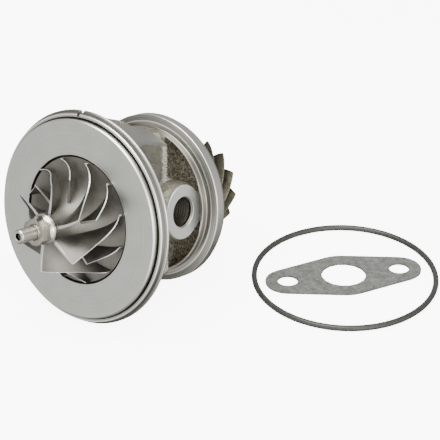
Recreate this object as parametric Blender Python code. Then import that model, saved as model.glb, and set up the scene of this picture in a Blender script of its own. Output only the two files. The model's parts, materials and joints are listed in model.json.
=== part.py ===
"""Turbocharger centre cartridge, with its loose flange O-ring and oil drain gasket.

Lengths are written in millimetres and MM turns them into metres. A turned piece is drawn as pairs
of radius and depth. Depth runs along the shaft, from the middle of the front land to the turbine.
The cartridge frame has its origin in the middle of the front land. Its +Z axis points along the
shaft to the compressor nut, +X to the oil inlet and +Y to the locating notch.
"""

import math

import bmesh
import bpy
from mathutils import Matrix, Vector

MM = 0.001
TURN = 2 * math.pi
MERGE = 0.001 * MM

# Clearances
CLEARANCE = 0.3 * MM
OVERLAP = 1.0 * MM

# How the cartridge lies on the ground, and where the loose seals lie beside it
HEADING = math.radians(39.5)
ROLL = math.radians(9.0)
SEALS_AHEAD = 22.5 * MM
SEALS_ASIDE = 87.5 * MM
GASKET_TURN = math.radians(12.4)
GASKET_OFFSET = (-1.9 * MM, 1.4 * MM)

# Facets round the turned pieces
FLANGE_FACETS = 52
WHEEL_FACETS = 42
TURBINE_FACETS = 30
BORE_FACETS = 22
SHAFT_FACETS = 16
RING_FACETS = 12
O_RING_FACETS = 48
O_RING_SIDES = 8

# Compressor wheel
WHEEL_RADIUS = 19.9 * MM
WHEEL_RIM_DEPTH = 1.2 * MM
WHEEL_RIM_THICKNESS = 0.8 * MM
WHEEL_BACK_RISE = 1.7 * MM
WHEEL_BACK_HUB_RADIUS = 6.0 * MM
WHEEL_HUB_RADIUS = 4.8 * MM
WHEEL_NOSE = 13.8 * MM
INDUCER_RADIUS = 14.4 * MM
EXDUCER_HEIGHT = 1.9 * MM
FULL_BLADES = 6
BLADE_THICKNESS = 0.8 * MM
BLADE_WRAP = math.radians(55)
BLADE_LEAN = math.radians(-7)
BLADE_CLOCKING = math.radians(19)
SPLITTER_START = 0.36

# Compressor nut
NUT_FLANGE_RADIUS = 5.0 * MM
NUT_FLANGE_THICKNESS = 1.2 * MM
NUT_ACROSS_FLATS = 8.0 * MM
NUT_HEX_HEIGHT = 3.9 * MM

# Shaft
STUB_RADIUS = 2.5 * MM
TIP_STEP = 0.3 * MM
TIP_LENGTH = 6.9 * MM
TIP_CHAMFER = 0.3 * MM
CENTRE_HOLE_RADIUS = 1.0 * MM
CENTRE_HOLE_DEPTH = 1.6 * MM
JOURNAL_STEP = 0.8 * MM
JOURNAL_RELIEF = 0.25 * MM
SEAL_HUB_STEP = 2.7 * MM
SEAL_HUB_GAP = 0.5 * MM

# Compressor flange of the bearing housing
LAND_WIDTH = 11.3 * MM
LAND_HEIGHT = 1.8 * MM
LAND_CHAMFER = 0.4 * MM
UNDERCUT_WIDTH = 0.7 * MM
UNDERCUT_DEPTH = 0.6 * MM
FLANGE_STEP = 2.4 * MM
FLANGE_THICKNESS = 2.9 * MM
FLANGE_CHAMFER = 0.5 * MM
NOTCH_WIDTH = 3.5 * MM
NOTCH_DEPTH = 1.7 * MM
RECESS_GAP = 0.6 * MM
RECESS_DEPTH = 3.1 * MM

# Neck and column of the bearing housing
NECK_WALL = 3.1 * MM
NECK_FILLET = 2.5 * MM
NECK_CONE = 2.0 * MM
WALL = 2.0 * MM
DRUM_INSET = 4.5 * MM
DRUM_FILLET = 2.0 * MM
DRUM_LENGTH = 13.3 * MM
COLUMN_HALF_WIDTH = 13.9 * MM
COLUMN_PAST_INLET = 0.4 * MM
COLUMN_STEP = 1.6 * MM
COLUMN_NARROW_HALF_WIDTH = 8.5 * MM
BARREL_RADIUS = 12.5 * MM

# Turbine flange of the bearing housing, from its rear face forwards
SEAL_LENGTH = 3.7 * MM
REAR_STEP_HEIGHT = 1.3 * MM
REAR_STEP_WIDTH = 0.8 * MM
TURBINE_FLANGE_RADIUS = 27.5 * MM
TURBINE_FLANGE_THICKNESS = 3.2 * MM
CLAMP_CONE_WIDTH = 2.1 * MM
CLAMP_CONE_HEIGHT = 0.9 * MM
LIP_SHOULDER_WIDTH = 1.5 * MM
LIP_HEIGHT = 2.3 * MM
LIP_WIDTH = 0.6 * MM
DISH_DEPTH = 4.5 * MM

# Oil inlet boss
INLET_SETBACK = 5.1 * MM
INLET_FACE = 20.3 * MM
INLET_BOSS_RADIUS = 9.3 * MM
INLET_THREAD_RADIUS = 4.5 * MM
INLET_CHAMFER = 0.75 * MM
INLET_THREAD_LENGTH = 9.5 * MM
INLET_DRILLING_RADIUS = 1.3 * MM
LUG_HALF_WIDTH = 3.3 * MM

# Oil drain pad
DRAIN_FACE = 18.0 * MM
DRAIN_HOLE_RADIUS = 7.2 * MM
DRAIN_BOLT_SPACING = 38.0 * MM
DRAIN_BOLT_RADIUS = 2.6 * MM
DRAIN_BOLT_LENGTH = 9.0 * MM
DRAIN_EAR_RADIUS = 7.0 * MM
DRAIN_MIDDLE_RADIUS = 12.0 * MM
DRAIN_WINDOW = 2.6 * MM
DRAIN_GALLERY_HALF_WIDTH = 4.5 * MM

# Insert, the seal plate behind the compressor wheel
INSERT_THICKNESS = 5.0 * MM
INSERT_DISH = 1.5 * MM
INSERT_GROOVE_DEPTH = 1.4 * MM
INSERT_RING_SECTION = 0.55 * MM
SNAP_RING_THICKNESS = 0.7 * MM
SNAP_RING_WIDTH = 2.3 * MM
SNAP_RING_BITE = 0.6 * MM
SNAP_RING_SEAT = 0.6 * MM

# Thrust assembly
SLEEVE_WALL = 2.7 * MM
SLEEVE_GAP = 0.4 * MM
FLINGER_STEP = 2.7 * MM
DEFLECTOR_THICKNESS = 0.7 * MM
DEFLECTOR_WIDTH = 4.8 * MM
DEFLECTOR_GAP = math.radians(40)
THRUST_BEARING_STEP = 1.1 * MM
THRUST_BEARING_THICKNESS = 2.5 * MM
THRUST_HUB_WALL = 1.2 * MM
THRUST_RING_STEP = 2.4 * MM
THRUST_RING_THICKNESS = 1.0 * MM
THRUST_PIN_RADIUS = 0.9 * MM
THRUST_PIN_BITE = 2.5 * MM

# Floating journal bearings and their retaining rings
BEARING_WALL = 1.8 * MM
BEARING_LENGTH = 6.0 * MM
BEARING_OIL_HOLE = 0.7 * MM
BEARING_GROOVE_WIDTH = 1.8 * MM
BEARING_GROOVE_DEPTH = 0.35 * MM
BEARING_SPREAD = 4.1 * MM
CIRCLIP_THICKNESS = 0.7 * MM
CIRCLIP_BITE = 0.6 * MM
CIRCLIP_WIDTH = 2.0 * MM

# Piston rings
PISTON_RING_THICKNESS = 0.8 * MM
PISTON_RING_WIDTH = 0.75 * MM
RING_GAP = math.radians(6)
CLIP_GAP = math.radians(50)

# Heat shield
SHIELD_THICKNESS = 0.7 * MM
SHIELD_MARGIN = 0.4 * MM
SHIELD_RIM = 2.4 * MM
SHIELD_RISE = 2.4 * MM
SHIELD_BORE_GAP = 1.0 * MM

# Turbine wheel
TURBINE_RADIUS = 18.0 * MM
TURBINE_GAP = 0.9 * MM
TURBINE_DISC_RADIUS = 12.6 * MM
TURBINE_DISC_THICKNESS = 1.0 * MM
TURBINE_TIP_WIDTH = 5.9 * MM
TURBINE_LENGTH = 17.2 * MM
TURBINE_EXDUCER_STEP = 2.7 * MM
TURBINE_HUB_RADIUS = 5.0 * MM
TURBINE_NOSE_RADIUS = 3.9 * MM
TURBINE_NOSE_LENGTH = 2.6 * MM
TURBINE_BLADES = 13
TURBINE_BLADE_THICKNESS = 0.9 * MM
TURBINE_WRAP = math.radians(46)
TURBINE_LEAN = math.radians(30)
TURBINE_STRAIGHT = 0.2
TURBINE_CLOCKING = math.radians(-24)

# Loose seals
O_RING_STRETCH = 0.5 * MM
O_RING_OVAL = 1.5 * MM
O_RING_SHIFT = -1.6 * MM
O_RING_SECTION = 1.05 * MM
GASKET_THICKNESS = 0.8 * MM
GASKET_BOLT_HOLE = 3.4 * MM
GASKET_CENTRE_HOLE = 7.4 * MM
GASKET_EAR_MARGIN = 4.0 * MM
GASKET_MIDDLE_MARGIN = 5.0 * MM

# Radii that follow from the pieces inside
TIP_RADIUS = STUB_RADIUS - TIP_STEP
STUB_BORE = STUB_RADIUS + CLEARANCE
JOURNAL_RADIUS = STUB_RADIUS + JOURNAL_STEP
BEARING_RADIUS = JOURNAL_RADIUS + CLEARANCE + BEARING_WALL
BORE_RADIUS = BEARING_RADIUS + CLEARANCE
SEAL_HUB_RADIUS = JOURNAL_RADIUS + SEAL_HUB_STEP
TURBINE_SEAL_BORE = SEAL_HUB_RADIUS + SEAL_HUB_GAP
THRUST_HUB_RADIUS = STUB_BORE + THRUST_HUB_WALL
THRUST_RING_RADIUS = THRUST_HUB_RADIUS + THRUST_RING_STEP
SLEEVE_RADIUS = STUB_BORE + SLEEVE_WALL
SLEEVE_SEAL_BORE = SLEEVE_RADIUS + SLEEVE_GAP
FLINGER_RADIUS = SLEEVE_RADIUS + FLINGER_STEP
DEFLECTOR_INNER_RADIUS = FLINGER_RADIUS + 2 * CLEARANCE
THRUST_BEARING_RADIUS = DEFLECTOR_INNER_RADIUS + DEFLECTOR_WIDTH
THRUST_PIN_CIRCLE = DEFLECTOR_INNER_RADIUS + DEFLECTOR_WIDTH / 2
INSERT_RADIUS = THRUST_BEARING_RADIUS + THRUST_BEARING_STEP
INSERT_BORE_RADIUS = INSERT_RADIUS + CLEARANCE
SNAP_GROOVE_RADIUS = INSERT_BORE_RADIUS + SNAP_RING_BITE + CLEARANCE
NECK_RADIUS = SNAP_GROOVE_RADIUS + NECK_WALL
RECESS_RADIUS = WHEEL_RADIUS + RECESS_GAP
LAND_RADIUS = RECESS_RADIUS + LAND_WIDTH
FLANGE_RADIUS = LAND_RADIUS + FLANGE_STEP
DRUM_RADIUS = LAND_RADIUS - DRUM_INSET
SHIELD_RADIUS = TURBINE_RADIUS + SHIELD_MARGIN
REAR_FACE_RADIUS = TURBINE_FLANGE_RADIUS - REAR_STEP_WIDTH
LIP_STEP_RADIUS = TURBINE_FLANGE_RADIUS - CLAMP_CONE_WIDTH
LIP_RADIUS = LIP_STEP_RADIUS - LIP_SHOULDER_WIDTH
TURBINE_EXDUCER_RADIUS = TURBINE_RADIUS - TURBINE_EXDUCER_STEP
O_RING_RADIUS = LAND_RADIUS - O_RING_STRETCH

# Depths down the stack behind the compressor wheel
FLANGE_BACK = LAND_HEIGHT + FLANGE_THICKNESS
WHEEL_BACK = WHEEL_RIM_DEPTH + WHEEL_RIM_THICKNESS + WHEEL_BACK_RISE
SNAP_GROOVE_FRONT = RECESS_DEPTH + SNAP_RING_SEAT
SNAP_RING_DEPTH = SNAP_GROOVE_FRONT + CLEARANCE
INSERT_DEPTH = SNAP_RING_DEPTH + SNAP_RING_THICKNESS + CLEARANCE
INSERT_BACK = INSERT_DEPTH + INSERT_THICKNESS
DEFLECTOR_DEPTH = INSERT_BACK + CLEARANCE
DEFLECTOR_BACK = DEFLECTOR_DEPTH + DEFLECTOR_THICKNESS
THRUST_BEARING_DEPTH = DEFLECTOR_BACK + CLEARANCE
THRUST_BEARING_BACK = THRUST_BEARING_DEPTH + THRUST_BEARING_THICKNESS
THRUST_SHOULDER = THRUST_BEARING_BACK + CLEARANCE
THRUST_RING_BACK = THRUST_SHOULDER + THRUST_RING_THICKNESS
SLEEVE_DEPTH = WHEEL_BACK + CLEARANCE
BEARING_BORE_FRONT = THRUST_RING_BACK + 2 * CLEARANCE
JOURNAL_FRONT = THRUST_RING_BACK + CLEARANCE

# Depths along the bearing bore: clip, bearing, clip, spread, clip, bearing, clip
CLIP_FRONT = BEARING_BORE_FRONT + 2 * CLEARANCE
FRONT_BEARING_DEPTH = CLIP_FRONT + CIRCLIP_THICKNESS + CLEARANCE
CLIP_INNER_FRONT = FRONT_BEARING_DEPTH + BEARING_LENGTH + CLEARANCE
CLIP_INNER_REAR = CLIP_INNER_FRONT + CIRCLIP_THICKNESS + BEARING_SPREAD
REAR_BEARING_DEPTH = CLIP_INNER_REAR + CIRCLIP_THICKNESS + CLEARANCE
CLIP_REAR = REAR_BEARING_DEPTH + BEARING_LENGTH + CLEARANCE
BORE_END = CLIP_REAR + CIRCLIP_THICKNESS + 2 * CLEARANCE
SEAL_HUB_DEPTH = BORE_END + CLEARANCE

# Depths at the turbine end. The shield's rim lies in a seat, level with the rear face.
REAR_FACE_DEPTH = BORE_END + SEAL_LENGTH
TURBINE_FLANGE_REAR = REAR_FACE_DEPTH - REAR_STEP_HEIGHT
TURBINE_FLANGE_FRONT = TURBINE_FLANGE_REAR - TURBINE_FLANGE_THICKNESS
LIP_STEP_DEPTH = TURBINE_FLANGE_FRONT - CLAMP_CONE_HEIGHT
LIP_DEPTH = LIP_STEP_DEPTH - LIP_HEIGHT
DISH_FLOOR = LIP_DEPTH + DISH_DEPTH
SHIELD_DEPTH = REAR_FACE_DEPTH - SHIELD_THICKNESS
SHIELD_SEAT_DEPTH = SHIELD_DEPTH - CLEARANCE
SHIELD_BACK = REAR_FACE_DEPTH + SHIELD_RISE
TURBINE_DEPTH = SHIELD_BACK + TURBINE_GAP
TURBINE_RING_MIDDLE = (BORE_END + SHIELD_SEAT_DEPTH) / 2

# Depths of the oil inlet and of the column that carries it
INLET_DEPTH = LIP_DEPTH - INLET_SETBACK
COLUMN_END = INLET_DEPTH + COLUMN_PAST_INLET
DRUM_TAPER_START = FLANGE_BACK + DRUM_LENGTH

# The rims of both flanges touch the ground, and that sets the tilt
TILT = math.atan2(
    FLANGE_RADIUS - TURBINE_FLANGE_RADIUS,
    TURBINE_FLANGE_REAR - (FLANGE_BACK - FLANGE_CHAMFER),
)


def clear_scene():
    for item in list(bpy.data.objects):
        bpy.data.objects.remove(item, do_unlink=True)


def finish(name, colour, roughness, metallic):
    """A plain material of one colour."""
    material = bpy.data.materials.new(name)
    material.use_nodes = True
    shader = material.node_tree.nodes["Principled BSDF"]
    shader.inputs["Base Color"].default_value = (*colour, 1.0)
    shader.inputs["Roughness"].default_value = roughness
    shader.inputs["Metallic"].default_value = metallic
    material.diffuse_color = (*colour, 1.0)
    return material


def frame_empty(name, parent=None):
    empty = bpy.data.objects.new(name, None)
    bpy.context.collection.objects.link(empty)
    empty.parent = parent
    return empty


def solid(bm, name, parent, depth=0.0):
    """An object made from a finished bmesh, moved back along the shaft by a depth."""
    bmesh.ops.remove_doubles(bm, verts=bm.verts, dist=MERGE)
    bmesh.ops.recalc_face_normals(bm, faces=bm.faces)
    mesh = bpy.data.meshes.new(name)
    bm.to_mesh(mesh)
    bm.free()
    mesh.shade_smooth()
    mesh.set_sharp_from_angle(angle=math.radians(30))
    item = bpy.data.objects.new(name, mesh)
    bpy.context.collection.objects.link(item)
    item.parent = parent
    item.location.z = -depth
    return item


def turned_mesh(profile, facets, start=0.0):
    """A solid of revolution from (radius, depth) pairs. A profile off the axis closes on itself."""
    bm = bmesh.new()
    points = [
        bm.verts.new((radius * math.cos(start), radius * math.sin(start), -depth))
        for radius, depth in profile
    ]
    edges = [bm.edges.new(pair) for pair in zip(points, points[1:])]
    if profile[0][0] > MERGE:
        edges.append(bm.edges.new((points[-1], points[0])))
    bmesh.ops.spin(
        bm,
        geom=points + edges,
        cent=(0, 0, 0),
        axis=(0, 0, 1),
        angle=TURN,
        steps=facets,
        use_merge=True,
    )
    return bm


def turned(name, profile, facets, parent, depth=0.0, start=0.0):
    return solid(turned_mesh(profile, facets, start), name, parent, depth)


def tube_profile(inner, outer, length, chamfer=0.0):
    """The section of a plain ring, chamfered on its outer edges."""
    if chamfer == 0.0:
        return [(inner, 0), (outer, 0), (outer, length), (inner, length)]
    return [
        (inner, 0),
        (outer - chamfer, 0),
        (outer, chamfer),
        (outer, length - chamfer),
        (outer - chamfer, length),
        (inner, length),
    ]


def open_ring(name, inner, outer, thickness, gap, facets, parent, depth, facing=0.0):
    """A flat ring with a gap, such as a circlip or a piston ring."""
    bm = bmesh.new()
    sections = []
    for step in range(facets + 1):
        angle = facing + gap / 2 + (TURN - gap) * step / facets
        across = Vector((math.cos(angle), math.sin(angle), 0))
        corners = [across * inner, across * outer]
        back = Vector((0, 0, -thickness))
        loop = [corners[0], corners[1], corners[1] + back, corners[0] + back]
        sections.append([bm.verts.new(corner) for corner in loop])
    for ahead, behind in zip(sections, sections[1:]):
        for side in range(4):
            following = (side + 1) % 4
            bm.faces.new((ahead[side], ahead[following], behind[following], behind[side]))
    bm.faces.new(sections[0])
    bm.faces.new(sections[-1])
    return solid(bm, name, parent, depth)


def prism(name, outline, height, parent, matrix):
    """A flat outline raised along its own +Z and then placed by a matrix."""
    bm = bmesh.new()
    base = bm.faces.new([bm.verts.new((x, y, 0)) for x, y in outline])
    raised = bmesh.ops.extrude_face_region(bm, geom=[base])
    tops = [item for item in raised["geom"] if isinstance(item, bmesh.types.BMVert)]
    bmesh.ops.translate(bm, verts=tops, vec=(0, 0, height))
    bmesh.ops.transform(bm, matrix=matrix, verts=bm.verts)
    return solid(bm, name, parent)


def arc(centre, radius, begin, end, steps):
    """Points along a round corner, from one angle to another."""
    angles = [begin + (end - begin) * step / steps for step in range(steps + 1)]
    return [
        (centre[0] + radius * math.cos(angle), centre[1] + radius * math.sin(angle))
        for angle in angles
    ]


def eared_outline(spacing, ear_radius, middle_radius, steps=8):
    """A round middle and two round ears, joined by straight sides that touch all three."""
    reach = spacing / 2
    lean = math.acos((middle_radius - ear_radius) / reach)
    right = arc((reach, 0), ear_radius, -lean, lean, steps)
    top = arc((0, 0), middle_radius, lean, math.pi - lean, steps)
    left = arc((-reach, 0), ear_radius, math.pi - lean, math.pi + lean, steps)
    bottom = arc((0, 0), middle_radius, math.pi + lean, TURN - lean, steps)
    return right + top + left + bottom


def radial_matrix(depth, offset):
    """Turns a prism's or a turned piece's +Z towards the oil inlet, at a depth and an offset."""
    turn = Matrix.Rotation(math.pi / 2, 4, "Y")
    return Matrix.Translation((offset, 0, -depth)) @ turn


def radial_turned(name, profile, facets, parent, depth, offset, across=0.0):
    """A turned piece whose axis points to the oil inlet side. Its depths run inwards from offset."""
    bm = turned_mesh(profile, facets)
    shift = Matrix.Translation((0, across, 0))
    bmesh.ops.transform(bm, matrix=shift @ radial_matrix(depth, offset), verts=bm.verts)
    return solid(bm, name, parent)


def box(name, low, high, parent, bevel=0.0):
    """A block between two corners, given as x, y and depth."""
    bm = bmesh.new()
    bmesh.ops.create_cube(bm, size=1)
    size = Vector((high[0] - low[0], high[1] - low[1], high[2] - low[2]))
    middle = Vector((high[0] + low[0], high[1] + low[1], -(high[2] + low[2]))) / 2
    bmesh.ops.scale(bm, vec=size, verts=bm.verts)
    bmesh.ops.translate(bm, vec=middle, verts=bm.verts)
    if bevel > 0:
        bmesh.ops.bevel(bm, geom=bm.edges, offset=bevel, segments=2, profile=0.5, affect="EDGES")
    return solid(bm, name, parent)


def combine(target, other, operation):
    """Joins, cuts or intersects two solids. The other one becomes a hidden guide."""
    other.hide_render = True
    other.display_type = "WIRE"
    modifier = target.modifiers.new(operation.title() + " " + other.name, "BOOLEAN")
    modifier.operation = operation
    modifier.object = other
    return target


def quarter_curve(start, end, count, first_part=0.0, radial_first=False):
    """(radius, depth) points on a quarter ellipse, from along the shaft to across it, or back."""
    points = []
    for step in range(count + 1):
        share = first_part + (1 - first_part) * step / count
        angle = share * math.pi / 2
        slow = 1 - math.cos(angle)
        fast = math.sin(angle)
        across, along = (fast, slow) if radial_first else (slow, fast)
        radius = start[0] + (end[0] - start[0]) * across
        depth = start[1] + (end[1] - start[1]) * along
        points.append((radius, depth))
    return points


def add_blade(bm, roots, tips, thickness):
    """One closed ruled blade between a root curve and a tip curve of (radius, depth, turn)."""
    rows = []
    for root, tip in zip(roots, tips):
        row = []
        for (radius, depth, angle), side in ((root, -1), (tip, -1), (tip, 1), (root, 1)):
            turn = angle + side * thickness / 2 / max(radius, thickness)
            row.append(bm.verts.new((radius * math.cos(turn), radius * math.sin(turn), -depth)))
        rows.append(row)
    for row, following in zip(rows, rows[1:]):
        for corner in range(4):
            after = (corner + 1) % 4
            quad = (row[corner], row[after], following[after], following[corner])
            bmesh.ops.triangulate(bm, faces=[bm.faces.new(quad)])
    bm.faces.new(rows[0])
    bm.faces.new(rows[-1])


def with_turns(curve, turns):
    """Adds a turn to each (radius, depth) point of a curve."""
    return [(radius, depth, turn) for (radius, depth), turn in zip(curve, turns)]


def blade_row(name, count, clocking, build, parent):
    """A ring of equal blades. They stay separate solids until the hub joins them."""
    bm = bmesh.new()
    for number in range(count):
        build(bm, clocking + TURN * number / count)
    return solid(bm, name, parent)


def compressor_turn(share):
    """How far round the blade has gone at a share of its length: quick, slower, then quick again."""
    return BLADE_WRAP * (1.6 * share - 1.1 * share**2 + 0.5 * share**3)


def make_compressor_wheel(parent):
    """Milled wheel: a trumpet hub with full blades and splitters, ruled from root to tip."""
    rim_back = WHEEL_RIM_DEPTH + WHEEL_RIM_THICKNESS
    hub = quarter_curve((WHEEL_HUB_RADIUS, -WHEEL_NOSE), (WHEEL_RADIUS, WHEEL_RIM_DEPTH), 7)
    back = [
        (WHEEL_RADIUS, rim_back),
        (WHEEL_BACK_HUB_RADIUS, rim_back + WHEEL_BACK_RISE - CLEARANCE),
        (WHEEL_BACK_HUB_RADIUS, WHEEL_BACK),
        (STUB_BORE, WHEEL_BACK),
        (STUB_BORE, -WHEEL_NOSE),
    ]
    wheel = turned("compressor_wheel", hub + back, WHEEL_FACETS, parent)

    sink = BLADE_THICKNESS
    blade_tip = (WHEEL_RADIUS - BLADE_THICKNESS / 4, WHEEL_RIM_DEPTH - EXDUCER_HEIGHT)
    nose = -WHEEL_NOSE + BLADE_THICKNESS / 2

    def blade(bm, angle, start):
        steps = 7 if start == 0 else 5
        tips = quarter_curve((INDUCER_RADIUS, nose), blade_tip, steps, start)
        root_end = (blade_tip[0], WHEEL_RIM_DEPTH + WHEEL_RIM_THICKNESS / 2)
        roots = quarter_curve((WHEEL_HUB_RADIUS - sink, nose), root_end, steps, start)
        shares = [start + (1 - start) * step / steps for step in range(steps + 1)]
        tip_turns = [angle + compressor_turn(share) for share in shares]
        root_turns = [
            turn + BLADE_LEAN * (1 - share) for turn, share in zip(tip_turns, shares)
        ]
        add_blade(
            bm, with_turns(roots, root_turns), with_turns(tips, tip_turns), BLADE_THICKNESS
        )

    half_pitch = TURN / FULL_BLADES / 2
    full = blade_row(
        "full_blades", FULL_BLADES, BLADE_CLOCKING, lambda bm, a: blade(bm, a, 0.0), parent
    )
    splitters = blade_row(
        "splitter_blades",
        FULL_BLADES,
        BLADE_CLOCKING + half_pitch,
        lambda bm, a: blade(bm, a, SPLITTER_START),
        parent,
    )
    combine(wheel, full, "UNION")
    return combine(wheel, splitters, "UNION")


def turbine_turn(share):
    """Straight along the shaft at the tip, then curling round towards the outlet."""
    curled = max(0.0, share - TURBINE_STRAIGHT) / (1 - TURBINE_STRAIGHT)
    return TURBINE_WRAP * curled**1.7


def make_turbine_wheel(parent):
    """Cast wheel: a hub with a scalloped back disc and blades that curl at the outlet."""
    disc_back = TURBINE_DISC_THICKNESS
    hub = quarter_curve(
        (TURBINE_DISC_RADIUS, disc_back),
        (TURBINE_HUB_RADIUS, TURBINE_LENGTH),
        7,
        radial_first=True,
    )
    nose = [
        (TURBINE_NOSE_RADIUS, TURBINE_LENGTH),
        (TURBINE_NOSE_RADIUS, TURBINE_LENGTH + TURBINE_NOSE_LENGTH),
        (0, TURBINE_LENGTH + TURBINE_NOSE_LENGTH),
    ]
    face = [(0, 0), (TURBINE_DISC_RADIUS, 0)]
    wheel = turned("turbine_wheel", face + hub + nose, TURBINE_FACETS, parent, TURBINE_DEPTH)

    sink = TURBINE_BLADE_THICKNESS
    steps = 7
    tip_start = (TURBINE_RADIUS, TURBINE_TIP_WIDTH)
    tip_end = (TURBINE_EXDUCER_RADIUS, TURBINE_LENGTH - sink / 2)
    root_start = (TURBINE_RADIUS, disc_back / 4)
    root_end = (TURBINE_HUB_RADIUS - sink, TURBINE_LENGTH - sink / 2)

    def blade(bm, angle):
        tips = quarter_curve(tip_start, tip_end, steps, radial_first=True)
        roots = quarter_curve(root_start, root_end, steps, radial_first=True)
        shares = [step / steps for step in range(steps + 1)]
        tip_turns = [angle + turbine_turn(share) for share in shares]
        root_turns = [turn + TURBINE_LEAN * share**2 for turn, share in zip(tip_turns, shares)]
        add_blade(
            bm,
            with_turns(roots, root_turns),
            with_turns(tips, tip_turns),
            TURBINE_BLADE_THICKNESS,
        )

    blades = blade_row("turbine_blades", TURBINE_BLADES, TURBINE_CLOCKING, blade, parent)
    blades.location.z = -TURBINE_DEPTH
    return combine(wheel, blades, "UNION")


def make_nut(parent):
    """Flanged hexagon nut that clamps the compressor wheel."""
    front = -WHEEL_NOSE - CLEARANCE
    flange_front = front - NUT_FLANGE_THICKNESS
    flange = [
        (STUB_BORE, front),
        (STUB_BORE, flange_front),
        (NUT_FLANGE_RADIUS - CLEARANCE, flange_front),
        (NUT_FLANGE_RADIUS, flange_front + CLEARANCE),
        (NUT_FLANGE_RADIUS, front),
    ]
    nut = turned("compressor_nut", flange, SHAFT_FACETS, parent)
    corner = NUT_ACROSS_FLATS / math.sqrt(3)
    hexagon = [
        (corner * math.cos(TURN * n / 6), corner * math.sin(TURN * n / 6)) for n in range(6)
    ]
    height = NUT_HEX_HEIGHT + NUT_FLANGE_THICKNESS / 2
    foot = Matrix.Translation((0, 0, -flange_front - NUT_FLANGE_THICKNESS / 2))
    hexes = prism("nut_hexagon", hexagon, height, parent, foot)
    top = flange_front - NUT_HEX_HEIGHT
    drill = turned(
        "nut_drill",
        [
            (0, top - OVERLAP),
            (STUB_BORE, top - OVERLAP),
            (STUB_BORE, front + OVERLAP),
            (0, front + OVERLAP),
        ],
        SHAFT_FACETS,
        parent,
    )
    combine(nut, hexes, "UNION")
    return combine(nut, drill, "DIFFERENCE")


def make_shaft(parent):
    """Stepped steel shaft: centre hole, stub, journal with a relief, and seal hub with a groove."""
    nut_top = -WHEEL_NOSE - CLEARANCE - NUT_FLANGE_THICKNESS - NUT_HEX_HEIGHT
    tip = nut_top - TIP_LENGTH
    groove = (PISTON_RING_THICKNESS + 2 * CLEARANCE) / 2
    groove_middle = TURBINE_RING_MIDDLE
    groove_radius = TURBINE_SEAL_BORE - PISTON_RING_WIDTH - 2 * CLEARANCE
    relief_radius = JOURNAL_RADIUS - JOURNAL_RELIEF
    relief_front = FRONT_BEARING_DEPTH + BEARING_LENGTH + CIRCLIP_THICKNESS
    relief_back = REAR_BEARING_DEPTH - CIRCLIP_THICKNESS
    end = TURBINE_DEPTH - CLEARANCE
    profile = [
        (0, tip + CENTRE_HOLE_DEPTH),
        (CENTRE_HOLE_RADIUS, tip + CENTRE_HOLE_DEPTH - CENTRE_HOLE_RADIUS / 2),
        (CENTRE_HOLE_RADIUS, tip),
        (TIP_RADIUS - TIP_CHAMFER, tip),
        (TIP_RADIUS, tip + TIP_CHAMFER),
        (TIP_RADIUS, nut_top - CLEARANCE),
        (STUB_RADIUS, nut_top + CLEARANCE),
        (STUB_RADIUS, JOURNAL_FRONT),
        (JOURNAL_RADIUS, JOURNAL_FRONT),
        (JOURNAL_RADIUS, relief_front),
        (relief_radius, relief_front),
        (relief_radius, relief_back),
        (JOURNAL_RADIUS, relief_back),
        (JOURNAL_RADIUS, SEAL_HUB_DEPTH),
        (SEAL_HUB_RADIUS, SEAL_HUB_DEPTH),
        (SEAL_HUB_RADIUS, groove_middle - groove),
        (groove_radius, groove_middle - groove),
        (groove_radius, groove_middle + groove),
        (SEAL_HUB_RADIUS, groove_middle + groove),
        (SEAL_HUB_RADIUS, end),
        (0, end),
    ]
    return turned("shaft", profile, SHAFT_FACETS, parent)


def make_sleeve(parent):
    """Thrust sleeve: carries the compressor piston ring and ends in the oil flinger."""
    groove_radius = SLEEVE_SEAL_BORE - PISTON_RING_WIDTH - 2 * CLEARANCE
    groove_front = compressor_ring_depth() - CLEARANCE
    groove_back = groove_front + PISTON_RING_THICKNESS + 2 * CLEARANCE
    profile = [
        (STUB_BORE, SLEEVE_DEPTH),
        (SLEEVE_RADIUS, SLEEVE_DEPTH),
        (SLEEVE_RADIUS, groove_front),
        (groove_radius, groove_front),
        (groove_radius, groove_back),
        (SLEEVE_RADIUS, groove_back),
        (SLEEVE_RADIUS, DEFLECTOR_DEPTH),
        (FLINGER_RADIUS, DEFLECTOR_DEPTH),
        (FLINGER_RADIUS, DEFLECTOR_BACK),
        (STUB_BORE, DEFLECTOR_BACK),
    ]
    return turned("thrust_sleeve", profile, SHAFT_FACETS, parent)


def compressor_ring_depth():
    """Front of the compressor piston ring, in the middle of the insert's bore."""
    bore_front = INSERT_DEPTH + INSERT_DISH
    return (bore_front + INSERT_BACK - PISTON_RING_THICKNESS) / 2


def make_thrust_ring(parent):
    """Thrust ring: its hub runs through the thrust bearing and its collar runs behind it."""
    profile = [
        (STUB_BORE, DEFLECTOR_BACK + CLEARANCE),
        (THRUST_HUB_RADIUS, DEFLECTOR_BACK + CLEARANCE),
        (THRUST_HUB_RADIUS, THRUST_SHOULDER),
        (THRUST_RING_RADIUS, THRUST_SHOULDER),
        (THRUST_RING_RADIUS, THRUST_RING_BACK),
        (STUB_BORE, THRUST_RING_BACK),
    ]
    return turned("thrust_ring", profile, SHAFT_FACETS, parent)


def make_rotor(parent):
    """Everything that turns with the shaft."""
    return {
        make_compressor_wheel(parent): ("wheel_alloy", (0.34, 0.31, 0.29), 0.32, 1.0),
        make_nut(parent): ("nut_steel", (0.62, 0.57, 0.49), 0.35, 1.0),
        make_shaft(parent): ("shaft_steel", (0.66, 0.64, 0.60), 0.28, 1.0),
        make_sleeve(parent): ("sleeve_steel", (0.55, 0.54, 0.52), 0.30, 1.0),
        make_thrust_ring(parent): ("thrust_steel", (0.58, 0.57, 0.55), 0.25, 1.0),
        make_turbine_wheel(parent): ("turbine_alloy", (0.19, 0.17, 0.12), 0.55, 0.8),
    }


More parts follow.
